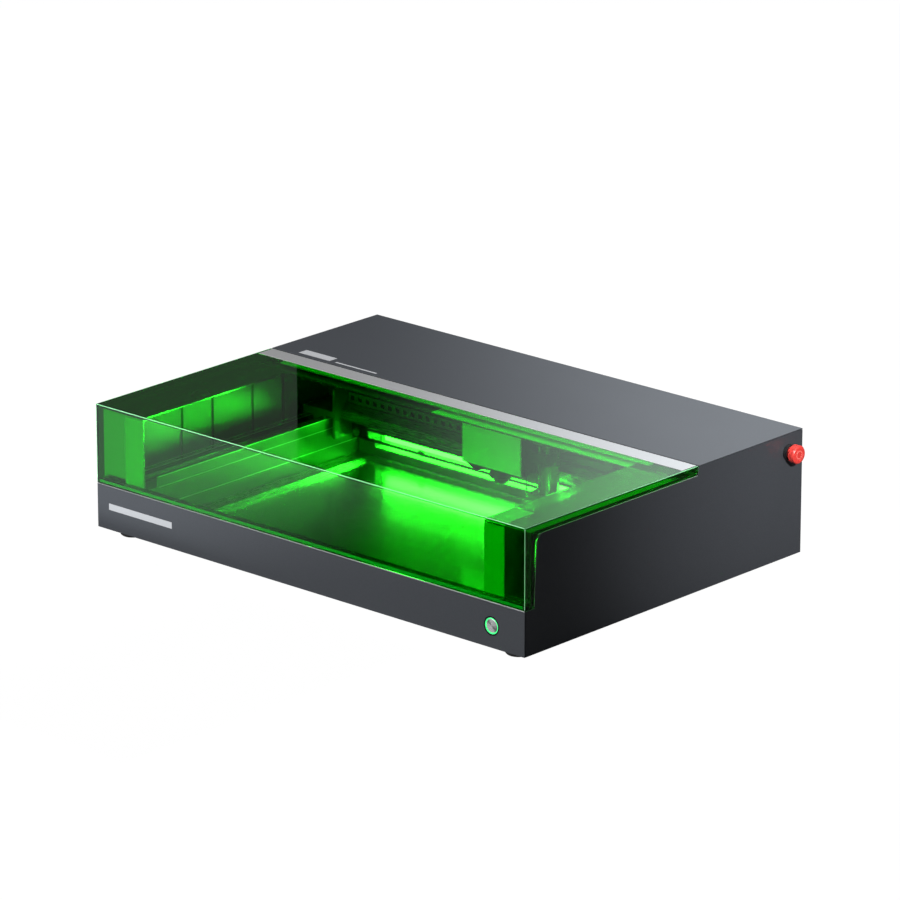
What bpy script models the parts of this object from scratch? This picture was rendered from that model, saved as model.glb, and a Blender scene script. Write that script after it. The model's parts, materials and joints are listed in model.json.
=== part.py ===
"""Enclosed diode laser engraver: a flat bench-top machine with a green lid.

The machine is modelled around its housing: X to the right, Y to the back,
Z up, with zero at the middle of the housing's underside. An empty then
carries everything, so that the world origin ends up under the middle of the
whole machine, feet and emergency stop included. All lengths are in metres.
"""

import math

import bmesh
import bpy
from mathutils import Matrix, Vector

# ---------------------------------------------------------------- dimensions
WIDTH = 0.765
DEPTH = 0.552
HEIGHT = 0.173
FOOT_HEIGHT = 0.010
SHEET = 0.0015
LID_WALL = 0.003
GAP = 0.0003
HALF_W = WIDTH / 2
FRONT = -DEPTH / 2
BACK = DEPTH / 2
STOP_PROTRUSION = 0.020
COLLAR_PROTRUSION = 0.009
INNER_X = HALF_W - SHEET - GAP

# The lid covers the front part of the top and wraps down over the front.
LID_BOTTOM = 0.0625
LID_SIDE_BOTTOM = 0.1605
LID_LEG_FOOT = -0.2587
LID_LEG_TOP = -0.2542
LID_CORNER = 0.0134
LID_LIP = 0.007
TRIM_FRONT = 0.033
TRIM_THICKNESS = 0.0017
PIVOT_Y = 0.054
PIVOT_Z = 0.168
PIVOT_CLEARANCE = 0.0075
LID_REAR = PIVOT_Y + PIVOT_CLEARANCE
COVER_FRONT = LID_REAR + 0.0021
SIDE_NOTCH_GAP = 0.0008
FRONT_RETURN = 0.014

# The engraving chamber.
FLOOR = SHEET + GAP
CHANNEL_INNER = 0.308
CHANNEL_TOP = 0.062
INNER_WALL_X = 0.365
INNER_WALL_TOP = 0.1610
OPENING_HALF_X = 0.304
OPENING_REAR = 0.011
OPENING_FRAME_TOP = 0.164
OPENING_FRAME_Y = (-0.2638, 0.045)
REAR_WALL_Y = 0.158
REAR_WALL_THICKNESS = 0.0015
BED_HALF_X = 0.307
BED_FRONT = -0.252
BED_BACK = 0.1575
BED_TOP = 0.016
PLATE_TOP = 0.0103

# Guides and drives along Y, mirrored left and right.
RAIL_X = 0.346
RAIL_WIDTH = 0.012
RAIL_TOP = 0.0755
RAIL_FRONT = -0.245
RAIL_BACK = 0.157
SCREW_X = 0.324
SCREW_Z = 0.0715
SCREW_RADIUS = 0.004
SCREW_FRONT = -0.246
SCREW_BACK = 0.1645

# The gantry beam and what runs along it.
BEAM_FRONT = 0.120
BEAM_BACK = 0.147
BEAM_BOTTOM = 0.070
BEAM_TOP = 0.097
GANTRY_HALF_X = 0.299
PULLEY_X = 0.280
PULLEY_Z = 0.0575
PULLEY_RADIUS = 0.006
BELT_THICKNESS = 0.0014
CHAIN_Z = 0.104
CHAIN_RISE = 0.030
CHAIN_Y = (0.1240, 0.1420)
CHAIN_HEIGHT = 0.0140
CHAIN_SHEET = 0.0018
CHAIN_PITCH = 0.014
CHAIN_BEND_X = 0.165

# The laser module.
MODULE_LEFT = -0.0275
MODULE_RIGHT = 0.0770
MODULE_FRONT = 0.060
MODULE_BOTTOM = 0.0868
MODULE_TOP = 0.1590
Z_SCREW = (0.089, 0.085)
Z_ROD = (0.1005, 0.088)
NOZZLE = (0.0248, 0.081)

# Controls and the parts on the rear wall.
BUTTON = (0.3263, 0.0297)
STOP = (0.246, 0.147)
FAN = (0.200, 0.100)
FAN_BORE = 0.0565
COLLAR_BORE = 0.0495
INLET = (-0.300, 0.040)
ROCKER_TILT = math.radians(9)
FOOT_X = 0.346
FOOT_Y = 0.246

# ----------------------------------------------------------------- materials
# name: (colour, roughness, metallic, transmission)
FINISHES = {
    "housing_paint": ((0.075, 0.080, 0.090), 0.45, 0.3, 0.0),
    "frame_paint": ((0.020, 0.021, 0.023), 0.50, 0.2, 0.0),
    "green_acrylic": ((0.010, 0.550, 0.060), 0.05, 0.0, 0.9),
    "satin_aluminium": ((0.620, 0.620, 0.610), 0.30, 1.0, 0.0),
    "ground_steel": ((0.500, 0.510, 0.520), 0.22, 1.0, 0.0),
    "bed_steel": ((0.400, 0.410, 0.410), 0.20, 1.0, 0.0),
    "black_plastic": ((0.015, 0.015, 0.016), 0.55, 0.0, 0.0),
    "white_plastic": ((0.800, 0.820, 0.800), 0.40, 0.0, 0.0),
    "red_plastic": ((0.750, 0.060, 0.045), 0.35, 0.0, 0.0),
    "black_rubber": ((0.012, 0.012, 0.012), 0.80, 0.0, 0.0),
    "glow_plastic": ((0.100, 0.900, 0.300), 0.35, 0.0, 0.0),
    "module_paint": ((0.550, 0.540, 0.500), 0.35, 0.4, 0.0),
}


def material(name):
    """Return the named material, made on first use."""
    found = bpy.data.materials.get(name)
    if found:
        return found
    colour, roughness, metallic, transmission = FINISHES[name]
    made = bpy.data.materials.new(name)
    made.use_nodes = True
    shader = made.node_tree.nodes["Principled BSDF"]
    shader.inputs["Base Color"].default_value = (*colour, 1.0)
    shader.inputs["Roughness"].default_value = roughness
    shader.inputs["Metallic"].default_value = metallic
    shader.inputs["Transmission Weight"].default_value = transmission
    made.diffuse_color = (*colour, 1.0)
    return made


# ------------------------------------------------------------------- helpers
def clear_scene():
    """Remove whatever the opened file holds."""
    for obj in list(bpy.data.objects):
        bpy.data.objects.remove(obj, do_unlink=True)


def empty(name, place, parent=None):
    """Add an empty that marks a joint's axis or the machine's origin."""
    obj = bpy.data.objects.new(name, None)
    obj.location = place
    obj.parent = parent
    bpy.context.collection.objects.link(obj)
    return obj


def finish(name, shape, finish_name, place, parent):
    """Turn a bmesh into an object that sits at place."""
    bmesh.ops.recalc_face_normals(shape, faces=shape.faces)
    mesh = bpy.data.meshes.new(name)
    shape.to_mesh(mesh)
    shape.free()
    mesh.materials.append(material(finish_name))
    obj = bpy.data.objects.new(name, mesh)
    obj.location = Vector(place) - joint_place(parent)
    obj.parent = parent
    bpy.context.collection.objects.link(obj)
    return obj


def joint_place(parent):
    """Where a parent empty stands in the machine's own coordinates."""
    place = Vector((0, 0, 0))
    while parent and parent.parent:
        place += parent.location
        parent = parent.parent
    return place


def block(name, x, y, z, finish_name, parent, rounding=0.0):
    """A box between the given limits, with its edges rounded if asked."""
    low = Vector((x[0], y[0], z[0]))
    high = Vector((x[1], y[1], z[1]))
    shape = bmesh.new()
    bmesh.ops.create_cube(shape, size=1.0, matrix=Matrix.Diagonal((*(high - low), 1)))
    obj = finish(name, shape, finish_name, (low + high) / 2, parent)
    if rounding:
        round_edges(obj, rounding)
    return obj


def round_edges(obj, width, segments=2, angle=40):
    """Round an object's edges with a bevel."""
    bevel = obj.modifiers.new("rounding", "BEVEL")
    bevel.width = width
    bevel.segments = segments
    bevel.limit_method = "ANGLE"
    bevel.angle_limit = math.radians(angle)


def prism(name, outline, axis, span, finish_name, parent):
    """Extrude a flat outline along an axis from span[0] to span[1].

    The outline's points are (y, z) along X, (x, z) along Y and (x, y) along Z.
    """
    shape = bmesh.new()
    places = {
        "x": lambda p: (span[0], p[0], p[1]),
        "y": lambda p: (p[0], span[0], p[1]),
        "z": lambda p: (p[0], p[1], span[0]),
    }
    reach = span[1] - span[0]
    shift = {"x": (reach, 0, 0), "y": (0, reach, 0), "z": (0, 0, reach)}[axis]
    corners = [shape.verts.new(places[axis](p)) for p in outline]
    face = shape.faces.new(corners)
    grown = bmesh.ops.extrude_face_region(shape, geom=[face])
    moved = [v for v in grown["geom"] if isinstance(v, bmesh.types.BMVert)]
    bmesh.ops.translate(shape, verts=moved, vec=shift)
    return finish(name, shape, finish_name, (0, 0, 0), parent)


def turned(name, profile, axis, place, finish_name, parent, steps=32):
    """Turn a closed (radius, height) profile about an axis through place."""
    shape = bmesh.new()
    to_axis = {
        "x": Matrix.Rotation(math.radians(90), 4, "Y"),
        "y": Matrix.Rotation(math.radians(-90), 4, "X"),
        "z": Matrix.Identity(4),
    }[axis]
    rings = []
    for radius, height in profile:
        if radius <= 0:
            rings.append([shape.verts.new((0, 0, height))])
            continue
        angles = [2 * math.pi * i / steps for i in range(steps)]
        rings.append([
            shape.verts.new((radius * math.cos(a), radius * math.sin(a), height))
            for a in angles
        ])
    hollow = all(radius > 0 for radius, height in profile)
    pairs = list(zip(rings, rings[1:]))
    if hollow:
        pairs.append((rings[-1], rings[0]))
    for first, second in pairs:
        join_rings(shape, first, second, steps)
    shape.transform(to_axis)
    obj = finish(name, shape, finish_name, place, parent)
    obj.data.shade_smooth()
    obj.data.set_sharp_from_angle(angle=math.radians(35))
    return obj


def join_rings(shape, first, second, steps):
    """Put faces between two neighbouring rings of a turned shape."""
    if len(first) == 1 and len(second) == 1:
        return
    for i in range(steps):
        j = (i + 1) % steps
        corners = [first[i % len(first)], first[j % len(first)]]
        corners += [second[j % len(second)], second[i % len(second)]]
        unique = list(dict.fromkeys(corners))
        shape.faces.new(unique)


def rod(name, axis, place, radius, length, finish_name, parent, steps=24):
    """A round bar that starts at place and runs along the axis."""
    profile = [(0, 0), (radius, 0), (radius, length), (0, length)]
    return turned(name, profile, axis, place, finish_name, parent, steps)


def tube(name, axis, place, outer, inner, length, finish_name, parent, steps=32):
    """A round tube that starts at place and runs along the axis."""
    profile = [(inner, 0), (outer, 0), (outer, length), (inner, length)]
    return turned(name, profile, axis, place, finish_name, parent, steps)


def combine(obj, tool, operation):
    """Join a tool object to obj, or cut it away, and keep the tool hidden."""
    tool.hide_render = True
    tool.display_type = "WIRE"
    boolean = obj.modifiers.new(tool.name, "BOOLEAN")
    boolean.operation = operation
    boolean.solver = "EXACT"
    boolean.object = tool


def cut(obj, *tools):
    """Cut each tool out of the object."""
    for tool in tools:
        combine(obj, tool, "DIFFERENCE")


def add(obj, *tools):
    """Join each tool to the object as one body."""
    for tool in tools:
        combine(obj, tool, "UNION")


def arc(centre, radius, start, end, steps=6):
    """Points on an arc, angles in degrees from the first axis."""
    points = []
    for i in range(steps + 1):
        a = math.radians(start + (end - start) * i / steps)
        points.append((centre[0] + radius * math.cos(a), centre[1] + radius * math.sin(a)))
    return points


def mirrored(outline, side):
    """Flip an outline's first coordinate for the right-hand side."""
    return [(side * a, b) for a, b in outline]


# ------------------------------------------------------------------- housing
def base_plate(root):
    """The flat underside, with rows of vent slots below the rear bay."""
    plate = block("base_plate", (-INNER_X, INNER_X), (FRONT + SHEET + GAP, BACK - SHEET - GAP),
                  (0, SHEET), "frame_paint", root)
    slot = (0.0240, 0.0040)
    for i in range(8):
        x = -0.060 + i * 0.0160
        cut(plate, block(f"floor_vent_{i}", (x, x + slot[1]), (0.205, 0.205 + slot[0]),
                         (-0.01, 0.01), "frame_paint", root))


def front_panel(root):
    top = LID_BOTTOM - 0.0005
    outline = [
        (FRONT, 0), (FRONT + SHEET, 0), (FRONT + SHEET, top - SHEET),
        (FRONT + FRONT_RETURN, top - SHEET), (FRONT + FRONT_RETURN, top), (FRONT, top),
    ]
    panel = prism("front_panel", outline, "x", (-HALF_W, HALF_W), "housing_paint", root)
    # The return is cut back at both ends, where the side sheets stand.
    for side in (-1, 1):
        span = sorted((side * INNER_X, side * (HALF_W + 0.01)))
        cut(panel, block(f"return_relief_{side}", span, (FRONT + SHEET, FRONT + 0.05),
                         (top - 0.02, top + 0.01), "housing_paint", root))
    round_edges(panel, 0.0008, 2, 60)
    hole = rod("button_hole", "y", (BUTTON[0], FRONT - 0.01, BUTTON[1]), 0.0130, 0.02,
               "housing_paint", root, 32)
    cut(panel, hole)


def side_panel(name, side, root):
    """The side sheet, notched to take the lid's side skirt."""
    low = LID_SIDE_BOTTOM - SIDE_NOTCH_GAP
    leg_foot = LID_LEG_FOOT + SIDE_NOTCH_GAP
    leg_top = LID_LEG_TOP + SIDE_NOTCH_GAP
    corner = (leg_top + LID_CORNER, low - LID_CORNER)
    top = HEIGHT - SHEET - GAP
    front = FRONT + SHEET + GAP
    outline = [(front, 0), (front, LID_BOTTOM - SIDE_NOTCH_GAP)]
    outline += [(leg_foot, LID_BOTTOM - SIDE_NOTCH_GAP)]
    outline += arc(corner, LID_CORNER, 180, 90)
    outline += [(LID_REAR + 0.0012, low), (LID_REAR + 0.0012, top), (BACK, top), (BACK, 0)]
    span = sorted((side * HALF_W, side * (HALF_W - SHEET)))
    panel = prism(name, outline, "x", span, "housing_paint", root)
    round_edges(panel, 0.0006, 2, 60)
    if side > 0:
        cut(panel, rod("stop_hole", "x", (HALF_W - 0.01, *STOP), 0.0095, 0.02,
                       "housing_paint", root, 32))


def rear_panel(root):
    panel = block("rear_panel", (-INNER_X, INNER_X), (BACK - SHEET, BACK),
                  (0, HEIGHT - SHEET - GAP), "housing_paint", root, 0.0005)
    through = (BACK - 0.02, BACK + 0.02)
    cut(panel,
        rod("port_hole", "y", (FAN[0], through[0], FAN[1]), COLLAR_BORE, 0.04,
            "housing_paint", root, 48),
        block("inlet_hole", (INLET[0] - 0.0335, INLET[0] + 0.0335), through,
              (INLET[1] - 0.0135, INLET[1] + 0.0135), "housing_paint", root))


def top_cover(root):
    """The rear roof with a lip turned down behind the lid."""
    top = HEIGHT
    lip = 0.010
    outline = [
        (COVER_FRONT, top), (BACK, top), (BACK, top - SHEET),
        (COVER_FRONT + 0.002, top - SHEET), (COVER_FRONT + 0.002, top - lip),
        (COVER_FRONT, top - lip),
    ]
    cover = prism("top_cover", outline, "x", (-HALF_W, HALF_W), "housing_paint", root)
    round_edges(cover, 0.0006, 2, 60)
    # The lip stops short of the side sheets.
    for side in (-1, 1):
        span = sorted((side * (INNER_X - 0.001), side * (HALF_W + 0.01)))
        cut(cover, block(f"lip_relief_{side}", span, (COVER_FRONT - 0.01, COVER_FRONT + 0.01),
                         (top - lip - 0.01, top - SHEET), "housing_paint", root))


def front_beam(root):
    """The bent sheet that closes the chamber behind the front panel."""
    wall = SHEET
    top = LID_BOTTOM - 0.0005 - SHEET - GAP
    back = BED_FRONT - GAP
    outline = [
        (FRONT + SHEET + GAP, top), (back, top), (back, FLOOR),
        (back - wall, FLOOR), (back - wall, top - wall), (FRONT + SHEET + GAP, top - wall),
    ]
    half = CHANNEL_INNER - 0.0005
    prism("front_beam", outline, "x", (-half, half), "frame_paint", root)


def side_channel(name, side, root):
    """A C-shaped sheet channel with a guard lip, which carries a Y rail."""
    wall = SHEET
    outer = INNER_X
    inner = CHANNEL_INNER
    lip_top = 0.077
    outline = [
        (-outer, CHANNEL_TOP), (-outer, CHANNEL_TOP - wall), (-inner - wall, CHANNEL_TOP - wall),
        (-inner - wall, FLOOR + wall), (-outer, FLOOR + wall), (-outer, FLOOR),
        (-inner, FLOOR), (-inner, lip_top), (-inner - wall, lip_top),
        (-inner - wall, CHANNEL_TOP),
    ]
    span = (FRONT + FRONT_RETURN + GAP, REAR_WALL_Y - GAP)
    channel = prism(name, mirrored(outline, -side), "y", span, "frame_paint", root)
    lip_cut = sorted((side * (inner - 0.001), side * (inner + wall + 0.0005)))
    # The lip starts behind the front beam.
    cut(channel, block(name + "_lip_cut", lip_cut, (span[0] - 0.01, -0.2355),
                       (CHANNEL_TOP, lip_top + 0.01), "frame_paint", root))


def inner_wall(name, side, root):
    """The chamber's side wall, with a flange turned out at its top."""
    wall = SHEET
    low = CHANNEL_TOP + GAP
    flange_x = HALF_W - LID_WALL - 2 * GAP
    outline = [
        (-INNER_WALL_X, low), (-INNER_WALL_X, INNER_WALL_TOP), (-flange_x, INNER_WALL_TOP),
        (-flange_x, INNER_WALL_TOP - wall), (-INNER_WALL_X - wall, INNER_WALL_TOP - wall),
        (-INNER_WALL_X - wall, low),
    ]
    span = (BED_FRONT, REAR_WALL_Y - GAP)
    prism(name, mirrored(outline, -side), "y", span, "frame_paint", root)


def opening_frame(root):
    """The fixed sheet below the lid, open above the bed, with two legs at its front."""
    outer = HALF_W - LID_WALL - 2 * GAP
    front, rear = OPENING_FRAME_Y
    sheet = block("opening_frame", (-outer, outer), (front, rear),
                  (OPENING_FRAME_TOP - SHEET, OPENING_FRAME_TOP), "frame_paint", root)
    cut(sheet, block("frame_opening", (-OPENING_HALF_X, OPENING_HALF_X),
                     (front - 0.01, OPENING_REAR), (0.10, 0.20), "frame_paint", root))
    for side in (-1, 1):
        leg_x = sorted((side * OPENING_HALF_X, side * outer))
        add(sheet, block(f"frame_leg_{side}", leg_x, (front, front + SHEET),
                         (CHANNEL_TOP + 0.002, OPENING_FRAME_TOP - SHEET / 2), "frame_paint", root))


def rear_inner_wall(root):
    """The wall between the chamber and the rear bay, with a lamp recess."""
    y = (REAR_WALL_Y, REAR_WALL_Y + REAR_WALL_THICKNESS)
    wall = block("rear_inner_wall", (-INNER_X, INNER_X), y, (FLOOR, HEIGHT - SHEET - GAP),
                 "frame_paint", root)
    recess_x = 0.278
    recess_z = (0.027, 0.048)
    sheet = SHEET
    box_back = REAR_WALL_Y + 0.016
    add(wall, block("recess_box", (-recess_x - sheet, recess_x + sheet),
                    (REAR_WALL_Y + SHEET / 2, box_back), (recess_z[0] - sheet, recess_z[1] + sheet),
                    "frame_paint", root))
    cut(wall, block("recess_hollow", (-recess_x, recess_x), (REAR_WALL_Y - 0.01, box_back - sheet),
                    recess_z, "frame_paint", root))
    cut(wall, rod("exhaust_hole", "y", (FAN[0], REAR_WALL_Y - 0.01, FAN[1]), 0.038, 0.03,
                  "frame_paint", root, 40))
    for side in (-1, 1):
        cut(wall, rod(f"screw_hole_{side}", "y", (side * SCREW_X, REAR_WALL_Y - 0.01, SCREW_Z),
                      0.0055, 0.03, "frame_paint", root, 20))


def light_bar(root):
    block("light_bar", (-0.262, 0.262), (REAR_WALL_Y + 0.003, REAR_WALL_Y + 0.0137),
          (0.0400, 0.0477), "white_plastic", root, 0.001)


def bed(root):
    """The shallow pan around the bed, and the plate that lies in it."""
    rim_x = 0.024
    rim_front = 0.017
    rim_back = 0.008
    pan = block("bed_frame", (-BED_HALF_X, BED_HALF_X), (BED_FRONT, BED_BACK),
                (FLOOR, BED_TOP), "satin_aluminium", root)
    round_edges(pan, 0.0006, 2)
    plate_x = BED_HALF_X - rim_x
    plate_y = (BED_FRONT + rim_front, BED_BACK - rim_back)
    plate_z = (PLATE_TOP - SHEET, PLATE_TOP)
    pan_floor = plate_z[0] - GAP
    cut(pan,
        block("bed_well", (-plate_x, plate_x), plate_y, (pan_floor, 0.05), "satin_aluminium", root),
        block("bed_underside", (-plate_x, plate_x), plate_y, (-0.01, pan_floor - 0.003),
              "satin_aluminium", root))
    block("work_plate", (-plate_x + GAP, plate_x - GAP), (plate_y[0] + GAP, plate_y[1] - GAP),
          plate_z, "bed_steel", root)


def y_rail(name, side, root):
    """A linear guide with its two side grooves."""
    half = RAIL_WIDTH / 2
    low = CHANNEL_TOP + GAP
    neck = half - 0.0014
    groove = (low + 0.0055, low + 0.0095)
    profile = [
        (-half, low), (half, low), (half, groove[0]), (neck, groove[0] + 0.0012),
        (neck, groove[1] - 0.0012), (half, groove[1]), (half, RAIL_TOP),
        (-half, RAIL_TOP), (-half, groove[1]), (-neck, groove[1] - 0.0012),
        (-neck, groove[0] + 0.0012), (-half, groove[0]),
    ]
    outline = [(side * RAIL_X + a, b) for a, b in profile]
    prism(name, outline, "y", (RAIL_FRONT, RAIL_BACK), "ground_steel", root)


def y_drive(side_name, side, root):
    """A lead screw with the motor that turns it, in the rear bay."""
    axis = empty(f"{side_name}_screw_axis", (side * SCREW_X, 0, SCREW_Z), root)
    rod(f"{side_name}_y_screw", "y", (side * SCREW_X, SCREW_FRONT, SCREW_Z), SCREW_RADIUS,
        SCREW_BACK - SCREW_FRONT, "ground_steel", axis, 16)
    half = 0.0175
    front = SCREW_BACK + GAP
    block(f"{side_name}_y_motor", (side * SCREW_X - half, side * SCREW_X + half),
          (front, front + 0.034), (SCREW_Z - half, SCREW_Z + half), "black_plastic", root, 0.0025)


def foot(name, x, y, root):
    profile = [
        (0, -FOOT_HEIGHT), (0.0155, -FOOT_HEIGHT), (0.0170, -FOOT_HEIGHT + 0.0015),
        (0.0180, -GAP), (0, -GAP),
    ]
    turned(name, profile, "z", (x, y, 0), "black_rubber", root, 32)


# ----------------------------------------------------------------------- lid
def lid_leg_outline(reach):
    """The outline below and behind the lid's side skirt, as (y, z) points."""
    corner = (LID_LEG_TOP + LID_CORNER, LID_SIDE_BOTTOM - LID_CORNER)
    outline = [(LID_LEG_FOOT, 0.03), (LID_LEG_FOOT, LID_BOTTOM)]
    outline += arc(corner, LID_CORNER, 180, 90)
    outline += arc((PIVOT_Y, PIVOT_Z), PIVOT_CLEARANCE, 270, 360)
    outline += [(reach, PIVOT_Z), (reach, 0.03)]
    return outline


def lid(root):
    """The lid shell, its trim bar and its two hinge leaves."""
    axis = empty("lid_axis", (0, PIVOT_Y, PIVOT_Z), root)
    green = "green_acrylic"
    wall = LID_WALL
    shell = block("lid_shell", (-HALF_W, HALF_W), (FRONT, LID_REAR), (LID_BOTTOM, HEIGHT), green, axis)
    round_edges(shell, 0.0008, 2)
    inner = (-HALF_W + wall, HALF_W - wall)
    cut(shell,
        block("lid_hollow", inner, (FRONT + wall, LID_REAR + 0.02),
              (LID_BOTTOM + LID_LIP, HEIGHT - wall), green, axis),
        block("lid_lip_hollow", inner, (FRONT + wall + LID_LIP, LID_REAR + 0.02),
              (LID_BOTTOM - 0.01, LID_BOTTOM + LID_LIP + 0.001), green, axis),
        block("lid_trim_slot", inner, (TRIM_FRONT - GAP, LID_REAR + 0.02),
              (HEIGHT - wall - 0.01, HEIGHT + 0.01), green, axis),
        prism("lid_side_notch", lid_leg_outline(LID_REAR + 0.02), "x",
              (-HALF_W - 0.01, HALF_W + 0.01), green, axis))
    trim = block("lid_trim_bar", (inner[0] + GAP, inner[1] - GAP), (TRIM_FRONT, LID_REAR),
                 (HEIGHT - TRIM_THICKNESS, HEIGHT), "satin_aluminium", axis, 0.0005)
    # A joggle glued under the top plate holds the bar to the shell.
    joggle = block("trim_joggle", (-0.330, 0.330), (TRIM_FRONT - 0.008, TRIM_FRONT + 0.006),
                   (HEIGHT - wall - 0.0018, HEIGHT - wall - GAP), "satin_aluminium", axis)
    web = block("trim_web", (-0.330, 0.330), (TRIM_FRONT + 0.002, TRIM_FRONT + 0.006),
                (HEIGHT - wall - 0.0010, HEIGHT - 0.0005), "satin_aluminium", axis)
    add(trim, joggle, web)
    for side_name, side in (("left", -1), ("right", 1)):
        hinge(side_name, side, trim, axis, root)


def hinge(side_name, side, trim, axis, root):
    """A leaf fixed under the trim bar, and the bracket and pin that carry it."""
    barrel = 0.0028
    bore = 0.0019
    pin = 0.0015
    leaf_x = sorted((side * 0.3340, side * 0.3517))
    leaf = block(f"{side_name}_hinge_leaf", leaf_x, (PIVOT_Y - 0.018, PIVOT_Y - 0.0004),
                 (PIVOT_Z + 0.0009, HEIGHT - TRIM_THICKNESS / 2), "satin_aluminium", axis)
    knuckle_inset = 0.0003
    knuckle = rod(f"{side_name}_leaf_barrel", "x", (leaf_x[0] + knuckle_inset, PIVOT_Y, PIVOT_Z),
                  barrel, leaf_x[1] - leaf_x[0] - 2 * knuckle_inset, "satin_aluminium", axis, 24)
    add(trim, leaf, knuckle)
    cut(trim, rod(f"{side_name}_leaf_bore", "x", (leaf_x[0] - 0.01, PIVOT_Y, PIVOT_Z), bore,
                  0.04, "satin_aluminium", axis, 24))
    bracket_x = sorted((side * 0.3521, side * (INNER_WALL_X - GAP)))
    bracket = block(f"{side_name}_hinge_bracket", bracket_x, (PIVOT_Y - barrel, PIVOT_Y + barrel),
                    (0.138, PIVOT_Z), "ground_steel", root)
    add(bracket,
        rod(f"{side_name}_bracket_barrel", "x", (bracket_x[0], PIVOT_Y, PIVOT_Z), barrel,
            bracket_x[1] - bracket_x[0], "ground_steel", root, 24),
        rod(f"{side_name}_hinge_pin", "x", (min(side * 0.3345, side * 0.3600), PIVOT_Y, PIVOT_Z),
            pin, 0.0255, "ground_steel", root, 24))


# -------------------------------------------------------------------- gantry
def gantry(root):
    axis = empty("gantry_axis", (0, BEAM_FRONT, BEAM_BOTTOM), root)
    beam(axis)
    for side_name, side in (("left", -1), ("right", 1)):
        gantry_end(side_name, side, axis)
    x_drive(axis)
    chain_run("cable_chain_lower", (-0.2950, 0.0300), BEAM_TOP + GAP, axis)
    carriage(axis)
    chain_bend(axis)


def beam(axis):
    """The cross beam, an extrusion with a slot along its top and back."""
    slot = 0.003
    depth = 0.004
    middle_y = (BEAM_FRONT + BEAM_BACK) / 2
    middle_z = (BEAM_BOTTOM + BEAM_TOP) / 2
    outline = [
        (BEAM_FRONT, BEAM_BOTTOM), (BEAM_BACK, BEAM_BOTTOM),
        (BEAM_BACK, middle_z - slot), (BEAM_BACK - depth, middle_z - slot),
        (BEAM_BACK - depth, middle_z + slot), (BEAM_BACK, middle_z + slot),
        (BEAM_BACK, BEAM_TOP), (middle_y + slot, BEAM_TOP),
        (middle_y + slot, BEAM_TOP - depth), (middle_y - slot, BEAM_TOP - depth),
        (middle_y - slot, BEAM_TOP), (BEAM_FRONT, BEAM_TOP),
    ]
    half = GANTRY_HALF_X - GAP
    prism("x_beam", outline, "x", (-half, half), "satin_aluminium", axis)
    rail_low = BEAM_BOTTOM + 0.006
    rail = [
        (BEAM_FRONT - GAP, rail_low), (BEAM_FRONT - GAP, rail_low + 0.012),
        (BEAM_FRONT - 0.008, rail_low + 0.012), (BEAM_FRONT - 0.008, rail_low + 0.009),
        (BEAM_FRONT - 0.0065, rail_low + 0.008), (BEAM_FRONT - 0.0065, rail_low + 0.004),
        (BEAM_FRONT - 0.008, rail_low + 0.003), (BEAM_FRONT - 0.008, rail_low),
    ]
    prism("x_rail", rail, "x", (-half, half), "ground_steel", axis)


def gantry_end(side_name, side, axis):
    """An end plate whose saddle rides the Y rail and holds the screw's nut."""
    rail_gap = 0.0005
    top = 0.086
    low = 0.0655
    rail_out = RAIL_X + RAIL_WIDTH / 2 + rail_gap
    rail_in = RAIL_X - RAIL_WIDTH / 2 - rail_gap
    nut_in = SCREW_X - 0.0075
    plate_out = GANTRY_HALF_X + 0.004
    plate_in = GANTRY_HALF_X
    outline = [
        (-rail_out - 0.006, low), (-rail_out, low), (-rail_out, RAIL_TOP + rail_gap),
        (-rail_in, RAIL_TOP + rail_gap), (-rail_in, low), (-nut_in, low), (-nut_in, 0.0785),
        (-plate_out, 0.0785), (-plate_out, 0.048), (-plate_in, 0.048), (-plate_in, 0.119),
        (-plate_out, 0.119), (-plate_out, top), (-rail_out - 0.006, top),
    ]
    saddle = prism(f"{side_name}_gantry_end", mirrored(outline, -side), "y", (0.100, 0.1565),
                   "black_plastic", axis)
    cut(saddle, rod(f"{side_name}_nut_bore", "y", (side * SCREW_X, 0.08, SCREW_Z),
                    SCREW_RADIUS + 0.0006, 0.1, "black_plastic", axis, 16))


def x_drive(axis):
    """The belt loop under the beam, its two pulleys and the motor."""
    y = (BEAM_FRONT + 0.002, BEAM_FRONT + 0.008)
    inner = PULLEY_RADIUS + GAP
    outer = inner + BELT_THICKNESS

    def loop(radius):
        left = arc((-PULLEY_X, PULLEY_Z), radius, 90, 270, 12)
        return left + arc((PULLEY_X, PULLEY_Z), radius, -90, 90, 12)

    belt = prism("x_belt", loop(outer), "y", y, "black_rubber", axis)
    cut(belt, prism("belt_inside", loop(inner), "y", (y[0] - 0.01, y[1] + 0.01),
                    "black_rubber", axis))
    for name, side in (("x_drive_pulley", -1), ("x_idler_pulley", 1)):
        turning = empty(name + "_axis", (side * PULLEY_X, -BEAM_FRONT, PULLEY_Z - BEAM_BOTTOM), axis)
        flange = PULLEY_RADIUS - 0.0006
        profile = [(0, 0), (flange, 0), (PULLEY_RADIUS, 0.0006), (PULLEY_RADIUS, 0.0056),
                   (flange, 0.0062), (0, 0.0062)]
        turned(name, profile, "y", (side * PULLEY_X, y[0] - 0.0001, PULLEY_Z),
               "satin_aluminium", turning, 24)
    motor_left = -PULLEY_X - 0.015
    block("x_motor", (motor_left, motor_left + 0.030), (y[1] + 0.0010, y[1] + 0.0270),
          (PULLEY_Z - 0.012, PULLEY_Z + 0.012), "black_plastic", axis, 0.002)


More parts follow.
